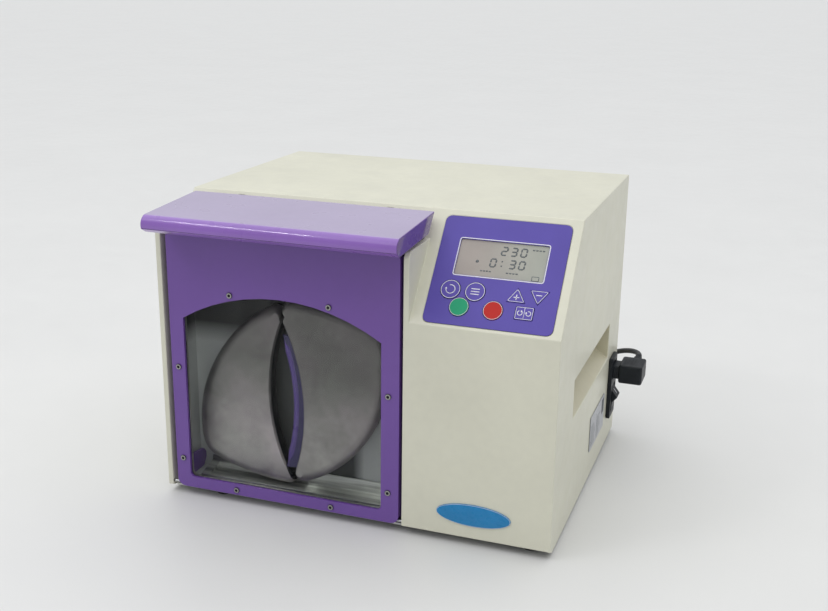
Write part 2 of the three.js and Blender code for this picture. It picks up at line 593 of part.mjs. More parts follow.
place('control_label', 'label', controlLabel());
place('lcd_display', 'screen',
  onSlope(roundedRectangle(LCD.x0 - 2, LCD.x1 + 2, LCD.s0 - 2, LCD.s1 + 2, 2), -6.5, LABEL.low - GAP));
for (const [name, [finish, shape]] of Object.entries(KEYS)) {
  place(name, finish, onSlope(shape, KEY_FOOT, KEY_FACE, 8));
}
place('control_board', 'board', onSlope(roundedRectangle(76, 178, 10, 98, 2), -9, -7.4));
place('name_badge', 'badge', (() => {
  const oval = new THREE.Shape().absellipse(120.5, 32.6, 36, 11, 0, 2 * Math.PI);
  return alongY(oval, FRONT - 1.5, FRONT - GAP, 16);
})());
place('rating_plate', 'silver', box(RIGHT + GAP, RIGHT + 1.1, 28, 105, 36.3, 74.5));

// ---------------------------------------------------------------- mains inlet and switch
function powerInlet() {
  const { y0, y1, z0, z1, flange, socket, window } = INLET;
  const bezel = alongX(roundedRectangle(y0, y1, z0, z1, 2), RIGHT + GAP, RIGHT + flange);
  const body = box(RIGHT - 32, RIGHT + 1, y0 + 2, y1 - 2, z0 + 2, z1 - 2);
  return unite([bezel, body])
    .subtract(box(RIGHT - 14, RIGHT + 10, y0 + 3, y1 - 3, ...socket))
    .subtract(box(RIGHT - 18, RIGHT + 10, y0 + 5, y1 - 5, ...window));
}

function rockerSwitch() {
  return alongY(polygon(ROCKER), INLET.y0 + 6, INLET.y1 - 6);
}

place('power_inlet', 'black', powerInlet());
place('rocker_switch', 'black', rockerSwitch());

place('power_supply', 'zinc', box(78, 160, -120, -20, PLATE_TOP + GAP, 58));

// ---------------------------------------------------------------- mains lead
function iecPlug() {
  const { x0, x1, y0, y1, z0, z1 } = IEC_PLUG;
  const block = polygon([[x0, y0], [x1 - 2, y0], [x1, y0 + 2], [x1, y1 - 12], [x1 - 5, y1],
    [x0 + 6, y1], [x0, y1 - 10]]);
  const body = toSolid(extrude(block, z1 - z0).translate(0, 0, z0));
  const nose = box(RIGHT - 12, x0 + 1, y0 + 4, y1 - 8, z0 + 3, z1 - 3);
  const cone = new THREE.CylinderGeometry(4, 6, 26, 12).translate(CORD_EXIT.x, 167, CORD_EXIT.z);
  return unite([body, nose, toSolid(cone)]);
}

function cordTube(points) {
  const path = new THREE.CatmullRomCurve3(points.map((p) => new THREE.Vector3(...p)));
  const steps = Math.ceil(path.getLength() / (4 * CORD_R));
  const section = new THREE.Shape(new THREE.Shape().absarc(0, 0, CORD_R, 0, 2 * Math.PI)
    .getPoints(5).slice(0, -1));
  return toSolid(new THREE.ExtrudeGeometry(section, { steps, bevelEnabled: false, extrudePath: path }));
}

// From the plug the lead turns behind the machine, drops to the bench and runs to the coil.
const LEAD_ROUTE = [[219.5, 180.3, 94], [219.4, 187, 94], [217, 195, 93.7], [211, 202.6, 93],
  [202, 207, 91.5], [191, 208.3, 88.5], [179.5, 208, 83.8], [169, 207.6, 76.8], [160, 207.2, 67.6],
  [152.5, 206.8, 57], [146, 206.5, 43.5], [138.5, 206.4, 30], [129, 206.4, 18], [117, 206.4, 9],
  [103, 206.4, 4.2], [90, CORD_LINE, 3.2], [84.2, CORD_LINE, 3.2]];
const TAIL_ROUTE = [[35.6, CORD_LINE, 7.6], [24, CORD_LINE, 5.4], [10, CORD_LINE, 3.7],
  [-6, CORD_LINE, 3.2], [-22, CORD_LINE, 3.6], [-36, CORD_LINE, 5.6], [-47, CORD_LINE, 7.3],
  [MAINS_PLUG_X + 22.6, CORD_LINE, 7.5]];

function cordCoil() {
  const { x, y, inner, outer, z0, z1 } = COIL;
  const profile = [[inner, z0], [outer, z0], [outer, z1], [inner, z1], [inner, z0]];
  const lathe = new THREE.LatheGeometry(profile.map(([r, h]) => new THREE.Vector2(r, h)), 32);
  return lathe.rotateX(Math.PI / 2).translate(x, y, 0);
}

function mainsPlug() {
  const x = MAINS_PLUG_X;
  const y = CORD_LINE;
  const body = toSolid(extrude(polygon([[x, y - 12], [x, y + 12], [x - 12, y + 24], [x - 44, y + 24],
    [x - 50, y + 14], [x - 50, y - 14], [x - 44, y - 24], [x - 12, y - 24]]), 19).translate(0, 0, GAP));
  const boot = box(x - 1, x + 22, y - 4, y + 4, 4, 11);
  const pins = [box(x - 20, x - 14, y - 14, y - 8, 18, 37), box(x - 20, x - 14, y + 8, y + 14, 18, 37),
    box(x - 42, x - 38, y - 4, y + 4, 18, 42)];
  return unite([body, boot, ...pins]);
}

place('iec_plug', 'black', iecPlug());
place('power_cord', 'black', cordTube(LEAD_ROUTE));
place('cord_coil', 'black', cordCoil());
place('cord_tail', 'black', cordTube(TAIL_ROUTE));
place('mains_plug', 'black', mainsPlug());

export default machine;
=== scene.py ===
"""Looks for a bench-top paddle blender for sample bags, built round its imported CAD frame.

Metres in Blender, +Z up, front towards -Y, the control panel on the +X side.
Sizes below are in millimetres of the same frame; mm() turns them into metres.
"""
import json
from math import asin, cos, degrees, pi, radians, sin

import bmesh
import bpy
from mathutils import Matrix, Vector


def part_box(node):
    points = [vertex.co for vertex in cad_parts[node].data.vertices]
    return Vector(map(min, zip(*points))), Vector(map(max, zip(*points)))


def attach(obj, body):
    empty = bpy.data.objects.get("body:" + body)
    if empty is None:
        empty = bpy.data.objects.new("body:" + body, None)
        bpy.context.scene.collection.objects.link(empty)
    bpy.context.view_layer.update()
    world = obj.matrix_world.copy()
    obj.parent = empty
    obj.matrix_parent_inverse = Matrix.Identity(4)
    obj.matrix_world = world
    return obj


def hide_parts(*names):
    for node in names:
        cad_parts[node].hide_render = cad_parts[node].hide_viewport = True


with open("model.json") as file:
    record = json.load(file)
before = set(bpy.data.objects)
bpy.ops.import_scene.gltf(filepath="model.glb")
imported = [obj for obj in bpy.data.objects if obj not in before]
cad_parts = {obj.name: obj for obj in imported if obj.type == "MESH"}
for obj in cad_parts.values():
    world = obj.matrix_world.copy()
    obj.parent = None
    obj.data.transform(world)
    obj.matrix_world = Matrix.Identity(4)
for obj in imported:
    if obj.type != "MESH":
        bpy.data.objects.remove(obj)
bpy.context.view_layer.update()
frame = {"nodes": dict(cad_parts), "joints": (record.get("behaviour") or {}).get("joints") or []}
NODES = frame["nodes"]
JOINTS = {joint["name"]: joint for joint in frame["joints"]}


def mm(*values):
    """A point, or one length, given in millimetres."""
    return Vector(values) / 1000 if len(values) > 1 else values[0] / 1000


def show(thing):
    """Links an object into the scene."""
    bpy.context.scene.collection.objects.link(thing)


def corners(node):
    """A CAD node's lowest and highest corners, in millimetres."""
    low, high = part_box(node)
    return low * 1000, high * 1000


# ---------------------------------------------------------------- camera
CAMERA_PLACE = (375.4, -1039.9, 521.9)
CAMERA_TURN = (72.949, -0.694, 19.619)  # degrees about X, Y and Z
CAMERA_LENS = 48.3


def make_camera():
    camera = bpy.data.objects.new("camera", bpy.data.cameras.new("camera"))
    camera.data.lens = CAMERA_LENS
    camera.data.sensor_width = 36
    camera.location = mm(*CAMERA_PLACE)
    camera.rotation_euler = [radians(angle) for angle in CAMERA_TURN]
    show(camera)
    bpy.context.scene.camera = camera


# ---------------------------------------------------------------- finishes
class Finish:
    """A Principled material, and short ways to add what its surface shows."""

    def __init__(self, name, colour, roughness, **sockets):
        self.material = bpy.data.materials.new(name)
        self.material.use_nodes = True
        self.nodes = self.material.node_tree.nodes
        self.links = self.material.node_tree.links
        self.shader = self.nodes["Principled BSDF"]
        self.colour = self.shader.inputs["Base Color"]
        self.colour.default_value = (*colour, 1)
        self.shader.inputs["Roughness"].default_value = roughness
        for socket, value in sockets.items():
            self.shader.inputs[socket.replace("_", " ")].default_value = value
        self.spots = self.add("ShaderNodeTexCoord").outputs
        self.place = self.spots["Object"]

    def add(self, kind, **values):
        """A node, its inputs set or linked by name, or by number: _2 is input 2."""
        node = self.nodes.new(kind)
        for name, value in values.items():
            if name in ("operation", "data_type", "blend_type", "feature"):
                setattr(node, name, value)
                continue
            key = int(name[1:]) if name[1:].isdigit() else name.replace("_", " ")
            if isinstance(value, bpy.types.NodeSocket):
                self.links.new(value, node.inputs[key])
            else:
                node.inputs[key].default_value = value
        return node

    def noise(self, size, stretch=(1, 1, 1), detail=2.0, distortion=0.0):
        """Noise whose blotches are about size millimetres across, stretched along an axis."""
        place = self.add("ShaderNodeVectorMath", operation="MULTIPLY", _0=self.place,
                         _1=tuple(1 / s for s in stretch))
        return self.add("ShaderNodeTexNoise", Vector=place.outputs[0], Scale=1 / mm(size),
                        Detail=detail, Distortion=distortion).outputs["Fac"]

    def remap(self, value, low, high, start=0.3, end=0.7):
        """value, from start to end, as low to high."""
        return self.add("ShaderNodeMapRange", Value=value, From_Min=start, From_Max=end,
                        To_Min=low, To_Max=high).outputs["Result"]

    def source(self, socket):
        """What a socket of the shader holds now: the socket linked to it, or its value."""
        return socket.links[0].from_socket if socket.is_linked else tuple(socket.default_value)

    def tint(self, mask, colour):
        """Lays colour over the base colour wherever mask is 1."""
        mix = self.add("ShaderNodeMix", data_type="RGBA", _0=mask, _6=self.source(self.colour),
                       _7=(*colour, 1))
        self.links.new(mix.outputs[2], self.colour)
        return self

    def shade(self, value, low, high, start=0.3, end=0.7):
        """Multiplies the base colour by low to high, following value."""
        grey = self.remap(value, low, high, start, end)
        mix = self.add("ShaderNodeMix", data_type="RGBA", blend_type="MULTIPLY", _0=1.0,
                       _6=self.source(self.colour), _7=grey)
        self.links.new(mix.outputs[2], self.colour)
        return self

    def rough(self, value, low, high, start=0.3, end=0.7):
        self.links.new(self.remap(value, low, high, start, end), self.shader.inputs["Roughness"])
        return self

    def metal(self, mask):
        self.links.new(mask, self.shader.inputs["Metallic"])
        return self

    def relief(self, value, depth, strength=1.0):
        """Bumps depth millimetres deep; a second call lies on top of the first."""
        normal = self.shader.inputs["Normal"]
        bump = self.add("ShaderNodeBump", Height=value, Distance=mm(depth), Strength=strength)
        if normal.is_linked:
            self.links.new(normal.links[0].from_socket, bump.inputs["Normal"])
        self.links.new(bump.outputs[0], normal)
        return self

    def along(self, axis):
        """The place along one axis of the frame, in metres."""
        return self.add("ShaderNodeSeparateXYZ", Vector=self.place).outputs[axis]

    def fade(self, axis, low, high, start, end):
        """low to high, as the place along an axis goes from start to end, in millimetres."""
        return self.remap(self.along(axis), low, high, mm(start), mm(end))

    def upward(self):
        """How far the surface faces up: 1 on a level top."""
        return self.add("ShaderNodeSeparateXYZ", Vector=self.spots["Normal"]).outputs["Z"]

    def enamel(self, low, high):
        """Sprayed enamel: faint orange peel, slow changes of tone, fine dust, low to high rough."""
        self.shade(self.noise(90), 0.965, 1.03)
        self.shade(self.noise(9, detail=1), 0.985, 1.01)
        self.rough(self.noise(22, detail=2), low, high)
        return self.relief(self.noise(6, detail=1), 0.01)

    def times(self, *masks):
        """The product of some masks."""
        whole = masks[0]
        for mask in masks[1:]:
            whole = self.add("ShaderNodeMath", operation="MULTIPLY", _0=whole, _1=mask).outputs[0]
        return whole


CREAM, CREAM_COAT, CREAM_ROUGHNESS = (0.69, 0.68, 0.56), 0.12, 0.42
# Painted shade in the hand hold's recess: a darker, yellower cream, and where it fades in.
HOLD_SHADE = (0.52, 0.47, 0.31)
HOLD_SHADE_FADES = (  # axis, the colour's shares, and the places where they start and end
    ("X", 0.55, 0.0, 193.2, 194.2), ("X", 0.0, 1.0, 0, 10), ("Y", 0.0, 1.0, -70, -60),
    ("Y", 1.0, 0.0, 174, 178), ("Z", 0.0, 1.0, 60, 70), ("Z", 1.0, 0.0, 200, 210))


def paint(name, colour, roughness, coat=0.0):
    """Stoved enamel, dull or under a thin gloss coat."""
    finish = Finish(name, colour, roughness, Coat_Weight=coat, Coat_Roughness=0.06)
    return finish.enamel(roughness * 0.85, roughness * 1.2).material


def cover_paint():
    """The cover's enamel, with painted shade inside the hand hold: a darker, yellower cream there.
    """
    finish = Finish("cover_paint_finish", CREAM, CREAM_ROUGHNESS, Coat_Weight=CREAM_COAT,
                    Coat_Roughness=0.06)
    # painted shade where the cover is folded into the hand hold
    hold = finish.times(*(finish.fade(*way) for way in HOLD_SHADE_FADES))
    return finish.tint(hold, HOLD_SHADE).enamel(0.36, 0.5).material


HOOD_PURPLE, HOOD_END_SHADE, HOOD_TOP_REFLECTION = (0.25, 0.118, 0.46), (0.09, 0.045, 0.2), (0.45, 0.385, 0.56)
HOOD_END_DEPTH = 0.8  # how far in the painted shade on the cut ends fades


def hood_paint():
    """Thick gloss enamel on the handle, with painted shade on its cut ends and a painted reflection
    that makes its top paler.
    """
    finish = Finish("hood_paint_finish", HOOD_PURPLE, 0.3, Coat_Weight=1.0, Coat_Roughness=0.07,
                    Specular_IOR_Level=0.2)
    low, high = corners("handle_hood")
    for end, inside in ((low.x, low.x + HOOD_END_DEPTH), (high.x, high.x - HOOD_END_DEPTH)):
        # painted shade: the cut ends darker
        finish.tint(finish.fade("X", 0.0, 0.75, inside, end), HOOD_END_SHADE)
    # painted reflection of the bright room: the level top paler
    finish.tint(finish.remap(finish.upward(), 0.0, 0.9, 0.93, 0.985), HOOD_TOP_REFLECTION)
    finish.shade(finish.noise(90), 0.96, 1.04)
    finish.shade(finish.noise(9, detail=1), 0.985, 1.01)
    finish.rough(finish.noise(22, detail=2), 0.25, 0.36)
    return finish.relief(finish.noise(12, detail=0), 0.002).material


# Painted shade in the chamber: its colour, and where it fades in on the back between the paddles.
CHAMBER_GREY, CHAMBER_SHADE = (0.62, 0.64, 0.62), (0.008, 0.011, 0.011)
BACK_SHADE_FADES = (("X", 0.0, 1.0, -150, -138), ("X", 1.0, 0.0, -22, -10), ("Y", 0.0, 0.9, -96, -92))


def chamber_paint():
    """Grey enamel, with painted shade: darker towards the chamber's top, under the door, and on its
    back between the paddles.
    """
    finish = Finish("chamber_paint_finish", CHAMBER_GREY, 0.5)
    finish.shade(finish.noise(60, detail=3), 0.93, 1.05)
    # painted shade on the back wall between the paddles
    between = finish.times(*(finish.fade(*way) for way in BACK_SHADE_FADES))
    finish.tint(between, CHAMBER_SHADE)
    # painted shade: darker towards the chamber's top, in the shadow of the door's top
    finish.shade(finish.along("Z"), 1.0, 0.05, mm(150), mm(172))
    finish.rough(finish.noise(12, detail=4), 0.42, 0.6)
    return finish.relief(finish.noise(5, detail=1), 0.01).material


def brushed(name, colour, roughness, size, stretch, depth):
    """Sheet or bar with the grain of a belt or a lathe, and cloudy handling marks."""
    finish = Finish(name, colour, roughness, Metallic=1.0)
    grain = finish.noise(size, stretch, detail=3)
    finish.shade(finish.noise(35, detail=3), 0.9, 1.08)
    finish.shade(grain, 0.93, 1.05)
    finish.rough(finish.noise(14, detail=4), roughness * 0.75, roughness * 1.3)
    return finish.relief(grain, depth).material


def zinc_steel():
    """Zinc-plated sheet: a spangle of crystals with a faint yellow and blue cast."""
    finish = Finish("zinc_steel_finish", (0.55, 0.56, 0.55), 0.38, Metallic=1.0)
    cells = finish.add("ShaderNodeTexVoronoi", Vector=finish.place, Scale=1 / mm(5))
    finish.shade(cells.outputs["Distance"], 0.86, 1.05, 0.1, 0.9)
    finish.tint(finish.remap(finish.noise(18), 0.0, 0.35), (0.58, 0.55, 0.43))
    finish.rough(cells.outputs["Distance"], 0.28, 0.5, 0.1, 0.9)
    return finish.relief(finish.noise(1.2), 0.004).material


PADDLE_TONES = ((0.30, 0.295, 0.278), (0.335, 0.303, 0.31))


def paddle_metal(name, edge):
    """Cast and blasted paddle: satin metal with stains from washing, paler low down as a painted
    reflection of the bright bench, and with painted shade along its hollow side.

    edge is the (x, z, radius) of its hollow side, the colour of the painted shade there, and how far
    from the edge, in millimetres, that shade starts and stops fading.
    """
    finish = Finish(name, PADDLE_TONES[0], 0.5, Metallic=0.85)
    cloud = finish.noise(32, detail=5, distortion=0.6)
    finish.tint(finish.remap(finish.noise(60, detail=3), 0.0, 1.0), PADDLE_TONES[1])
    finish.shade(cloud, 0.74, 1.14)
    finish.shade(finish.noise(7, detail=6), 0.92, 1.06)
    finish.rough(cloud, 0.4, 0.62)
    # painted reflection of the bright bench: paler low down
    finish.shade(finish.along("Z"), 1.35, 0.6, mm(60), mm(150))
    # painted shade: the right paddle a little darker than the left
    finish.shade(finish.along("X"), 1.05, 0.88, mm(-80), mm(-60))
    (x, z, radius), colour, start, stop = edge
    level = finish.add("ShaderNodeVectorMath", operation="MULTIPLY", _0=finish.place, _1=(1, 0, 1))
    reach = finish.add("ShaderNodeVectorMath", operation="DISTANCE", _0=level.outputs[0],
                       _1=mm(x, 0, z)).outputs["Value"]
    # painted shade along the hollow side, where the gap between the paddles is dark
    finish.tint(finish.remap(reach, 1, 0, mm(radius + start), mm(radius + stop)), colour)
    finish.relief(finish.noise(4, detail=2), 0.008)
    return finish.relief(cloud, 0.12, 0.5).material


def tray_steel():
    """Rolled stainless sheet with wide bright and dark streaks along the tray."""
    finish = Finish("tray_steel_finish", (0.66, 0.67, 0.63), 0.4, Metallic=0.9)
    finish.shade(finish.noise(7, (20, 1, 1), detail=3), 0.42, 1.2, 0.38, 0.62)
    finish.shade(finish.noise(1.5, (30, 1, 1), detail=2), 0.88, 1.06)
    finish.rough(finish.noise(14, detail=4), 0.32, 0.52)
    return finish.relief(finish.noise(2, (30, 1, 1), detail=2), 0.004).material


def cast_aluminium():
    finish = Finish("cast_aluminium_finish", (0.52, 0.53, 0.54), 0.45, Metallic=1.0)
    finish.shade(finish.noise(12, detail=5), 0.82, 1.08)
    finish.rough(finish.noise(3, detail=4), 0.35, 0.6)
    return finish.relief(finish.noise(0.9, detail=3), 0.03).material


def bronze():
    """Sintered bearing bronze, with dark oil in its pores."""
    finish = Finish("bronze_finish", (0.48, 0.29, 0.13), 0.4, Metallic=1.0)
    finish.shade(finish.noise(0.8, detail=4), 0.7, 1.08, 0.35, 0.6)
    finish.rough(finish.noise(6, detail=3), 0.3, 0.5)
    return finish.relief(finish.noise(0.8, detail=4), 0.02).material


def window_glass():
    """Clear acrylic pane. A transparent shader lets the lamps through it into the chamber."""
    finish = Finish("window_glass_finish", (0.97, 0.985, 0.98), 0.02, Transmission_Weight=1.0,
                    IOR=1.17)
    finish.relief(finish.noise(70, detail=1), 0.03, 0.3)
    clear = finish.add("ShaderNodeBsdfTransparent", Color=(0.93, 0.95, 0.94, 1))
    shadow = finish.add("ShaderNodeLightPath").outputs["Is Shadow Ray"]
    mix = finish.add("ShaderNodeMixShader", Fac=shadow, _1=finish.shader.outputs[0],
                     _2=clear.outputs[0])
    finish.links.new(mix.outputs[0], finish.nodes["Material Output"].inputs["Surface"])
    return finish.material


def film(name, colour, roughness=0.34):
    """Printed polyester film with a fine embossed grain."""
    finish = Finish(name, colour, roughness, Specular_IOR_Level=0.2)
    finish.shade(finish.noise(40), 0.96, 1.05)
    finish.rough(finish.noise(9, detail=4), roughness * 0.85, roughness * 1.25)
    return finish.relief(finish.noise(0.35, detail=2), 0.012).material


LCD_LEFT, LCD_RIGHT = (0.375, 0.335, 0.305), (0.385, 0.395, 0.345)


def lcd_glass():
    """Reflective liquid crystal behind glass: a grey that drifts from warm to green."""
    finish = Finish("lcd_glass_finish", LCD_LEFT, 0.16, Specular_IOR_Level=0.3)
    low, high = corners("lcd_display")
    finish.tint(finish.fade("X", 0.0, 1.0, low.x + 20, high.x - 10), LCD_RIGHT)
    finish.shade(finish.noise(25), 0.94, 1.05)
    finish.shade(finish.noise(0.25, detail=0), 0.96, 1.02)
    finish.rough(finish.noise(14, detail=4), 0.12, 0.24)
    return finish.relief(finish.noise(0.3), 0.002).material


def board_green():
    """Solder mask over a maze of copper tracks."""
    finish = Finish("board_green_finish", (0.02, 0.13, 0.05), 0.35, Coat_Weight=0.4)
    cells = finish.add("ShaderNodeTexVoronoi", Vector=finish.place, Scale=1 / mm(6),
                       feature="DISTANCE_TO_EDGE")
    tracks = finish.remap(cells.outputs["Distance"], 1.0, 0.0, 0.06, 0.1)
    finish.tint(tracks, (0.05, 0.26, 0.09))
    finish.rough(finish.noise(8, detail=3), 0.28, 0.45)
    return finish.relief(tracks, 0.03).material


def badge_blue():
    """Blue print under a clear dome of resin, paler low down."""
    finish = Finish("badge_blue_finish", (0.012, 0.215, 0.49), 0.28, Coat_Weight=0.1,
                    Coat_Roughness=0.05, Specular_IOR_Level=0.3)
    low, high = corners("name_badge")
    finish.tint(finish.fade("Z", 0.5, 0.0, low.z, high.z), (0.03, 0.21, 0.45))
    finish.shade(finish.noise(12, detail=3), 0.95, 1.05)
    finish.rough(finish.noise(5, detail=3), 0.22, 0.36)
    return finish.relief(finish.noise(0.4), 0.003).material


def silver_label():
    finish = Finish("silver_label_finish", (0.43, 0.44, 0.47), 0.38)
    finish.shade(finish.noise(0.6, (1, 20, 1), detail=2), 0.95, 1.03)
    finish.rough(finish.noise(7, detail=4), 0.26, 0.42)
    return finish.relief(finish.noise(0.5), 0.004).material


def moulded(name, colour, roughness, grain=0.5, depth=0.03, **sockets):
    """Moulded plastic or rubber: a spark-eroded grain, scuffs and a little dust."""
    finish = Finish(name, colour, roughness, **sockets)
    scuffs = finish.noise(2.5, (1, 6, 1), detail=6)
    finish.shade(finish.noise(16, detail=3), 0.85, 1.15)
    finish.tint(finish.remap(scuffs, 0.0, 0.04, 0.6, 0.8), (0.25, 0.25, 0.25))
    finish.rough(scuffs, roughness * 0.85, roughness * 1.2)
    return finish.relief(finish.noise(grain, detail=2), depth).material


PIN_FOOT = (19.6, 19.8)  # the heights between which the plug's black turns to brass


def plug_plastic():
    """Black moulding whose three pins, above its face, are brass."""
    finish = Finish("plug_plastic_finish", (0.018, 0.019, 0.021), 0.42)
    pin = finish.fade("Z", 0.0, 1.0, *PIN_FOOT)
    finish.shade(finish.noise(16, detail=3), 0.85, 1.15)
    finish.tint(pin, (0.66, 0.5, 0.22)).metal(pin)
    finish.rough(finish.noise(6, detail=4), 0.33, 0.5)
    return finish.relief(finish.noise(0.5), 0.02).material


def ink(name, colour):
    """Screen-printed ink: nearly flat, with a soft tooth."""
    finish = Finish(name, colour, 0.5)
    finish.shade(finish.noise(3, detail=3), 0.96, 1.03)
    return finish.relief(finish.noise(0.3), 0.004).material


def screw_steel():
    """Dull plated heads, with painted shade: black in their sockets and round their rims."""
    finish = Finish("screw_steel_finish", (0.42, 0.42, 0.41), 0.4, Metallic=0.9)
    front = corners("window_screw_1")[0].y
    finish.shade(finish.noise(1.5, detail=3), 0.8, 1.1)
    # painted shade in the socket and round the rim, where the head meets the door
    finish.tint(finish.fade("Y", 0.0, 1.0, front + 0.12, front + 0.4), (0.02, 0.02, 0.022))
    return finish.rough(finish.noise(2, detail=2), 0.3, 0.5).material


def floor_finish():
    """Pale laminate bench top, with a very fine mottle and a soft sheen."""
    finish = Finish("floor_finish", (0.725, 0.725, 0.715), 0.42, Specular_IOR_Level=0.35)
    finish.shade(finish.noise(260, detail=3), 0.985, 1.01)
    finish.shade(finish.noise(1.5, detail=2), 0.99, 1.005)
    return finish.rough(finish.noise(40, detail=4), 0.36, 0.5).material


LOOKS = {
    "cream_paint": paint("cream_paint_finish", CREAM, CREAM_ROUGHNESS, coat=CREAM_COAT),
    "purple_paint": paint("purple_paint_finish", (0.15, 0.066, 0.32), 0.36, coat=0.15),
    "grey_paint": chamber_paint(),
    "stainless": brushed("stainless_finish", (0.76, 0.77, 0.745), 0.48, 2, (30, 1, 1), 0.004),
    "steel": brushed("steel_finish", (0.55, 0.56, 0.57), 0.27, 0.5, (1, 8, 8), 0.006),
    "zinc_steel": zinc_steel(),
    "cast_aluminium": cast_aluminium(),
    "bronze": bronze(),
    "window_glass": window_glass(),
    "label_film": film("label_film_finish", (0.11, 0.083, 0.38)),
    "key_green": film("key_green_finish", (0.02, 0.33, 0.165)),
    "key_red": film("key_red_finish", (0.48, 0.02, 0.015)),
    "lcd_glass": lcd_glass(),
    "board_green": board_green(),
    "badge_blue": badge_blue(),
    "silver_label": silver_label(),
    "black_plastic": moulded("black_plastic_finish", (0.007, 0.010, 0.014), 0.42,
                             Specular_IOR_Level=0.3),
    "black_rubber": moulded("black_rubber_finish", (0.02, 0.02, 0.02), 0.65, grain=1.0, depth=0.05),
    "cord_pvc": moulded("cord_pvc_finish", (0.016, 0.017, 0.018), 0.38, grain=1.2, depth=0.02),
}
WHITE_INK = ink("white_ink", (0.78, 0.77, 0.84))
LCD_INK = ink("lcd_ink", (0.13, 0.145, 0.15))
GREY_INK = ink("grey_ink", (0.10, 0.11, 0.12))
# Painted shade: the dark navy of the rim's flange, between the bead and the paddle's face.
FLANGE_SHADE_NAVY = paint("flange_shade_navy_finish", (0.025, 0.018, 0.08), 0.4)
DEEP_PURPLE = paint("deep_purple_finish", (0.062, 0.03, 0.19), 0.3, coat=0.3)
SCREW_STEEL = screw_steel()


# ---------------------------------------------------------------- mesh helpers
def circle(x, y, radius, count):
    return [(x + radius * cos(a), y + radius * sin(a))
            for a in (2 * pi * i / count for i in range(count))]


def arc(x, y, radius, start, end, count):
    """Points of an arc, angles in degrees."""
    return [(x + radius * cos(a), y + radius * sin(a)) for a in
            (radians(start + (end - start) * i / count) for i in range(count + 1))]


def bezier(a, b, c, d, count):
    """Points of a cubic, without its first."""
    spots = [i / count for i in range(1, count + 1)]
    return [tuple((1 - t) ** 3 * p + 3 * (1 - t) ** 2 * t * q + 3 * (1 - t) * t * t * r + t ** 3 * s
                  for p, q, r, s in zip(a, b, c, d)) for t in spots]


def rounded(x0, x1, y0, y1, radius, count=6):
    """A rectangle with rounded corners, anticlockwise."""
    return (arc(x1 - radius, y0 + radius, radius, -90, 0, count)
            + arc(x1 - radius, y1 - radius, radius, 0, 90, count)
            + arc(x0 + radius, y1 - radius, radius, 90, 180, count)
            + arc(x0 + radius, y0 + radius, radius, 180, 270, count))


def inset(outline, distance):
    """An anticlockwise outline moved inwards by one distance, or by one for each point."""
    count = len(outline)
    distances = distance if isinstance(distance, list) else [distance] * count
    moved = []
    for i, (x, y) in enumerate(outline):
        before, after = Vector(outline[i - 1]), Vector(outline[(i + 1) % count])
        first = (Vector((x, y)) - before).normalized()
        second = (after - Vector((x, y))).normalized()
        across = (first + second).normalized()
        reach = distances[i] / max(0.4, across.dot(second))
        moved.append((x - across.y * reach, y + across.x * reach))
    return moved


def loft(rings, capped=True):
    """A skin over rings of points in metres: its ends closed if capped, or else joined together."""
    mesh = bmesh.new()
    rows = [[mesh.verts.new(point) for point in ring] for ring in rings]
    pairs = list(zip(rows, rows[1:])) + ([] if capped else [(rows[-1], rows[0])])
    for near, far in pairs:
        for i in range(len(near)):
            j = (i + 1) % len(near)
            mesh.faces.new((near[i], near[j], far[j], far[i]))
    if capped:
        mesh.faces.new(rows[0][::-1])
        mesh.faces.new(rows[-1])
    bmesh.ops.recalc_face_normals(mesh, faces=mesh.faces)
    return mesh


def join(meshes):
    """Several loose bodies as one mesh."""
    whole = meshes[0]
    for other in meshes[1:]:
        spare = bpy.data.meshes.new("spare")
        other.to_mesh(spare)
        other.free()
        whole.from_mesh(spare)
        bpy.data.meshes.remove(spare)
    return whole


def piece(name, mesh, look, body, stands_for=()):
    """Shows a mesh as a piece that rides on a body, and hides the CAD nodes it stands for."""
    data = bpy.data.meshes.new(name)
    mesh.to_mesh(data)
    mesh.free()
    data.materials.append(look)
    data.shade_smooth()
    made = bpy.data.objects.new(name, data)
    show(made)
    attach(made, body)
    if stands_for:
        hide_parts(*stands_for)
    return made


CREASE = 30  # degrees between faces that makes an edge of a made piece sharp


def crisp(thing):
    """Keeps flat faces flat and round ones round, without touching the mesh itself."""
    weighted = thing.modifiers.new("normals", "WEIGHTED_NORMAL")
    weighted.keep_sharp = True
    thing.data.set_sharp_from_angle(angle=radians(CREASE))
    return thing


def slab(outline, low, high, place):
    """A thin plate over an outline; place(u, v, w) puts its points in the frame."""
    return loft([[place(u, v, w) for u, v in outline] for w in (low, high)])


def band(outline, width, low, high, place):
    """A printed line that wide, just inside a closed outline."""
    inner = inset(outline, width)
    return loft([[place(u, v, w) for u, v in ring] for ring, w in
                 ((outline, low), (outline, high), (inner, high), (inner, low))], capped=False)


def bar(u0, v0, u1, v1, width, low, high, place):
    """A straight printed stroke between two points."""
    along = Vector((u1 - u0, v1 - v0)).normalized() * width / 2
    side = Vector((-along.y, along.x))
    a, b = Vector((u0, v0)), Vector((u1, v1))
    return slab([a + side, a - side, b - side, b + side], low, high, place)


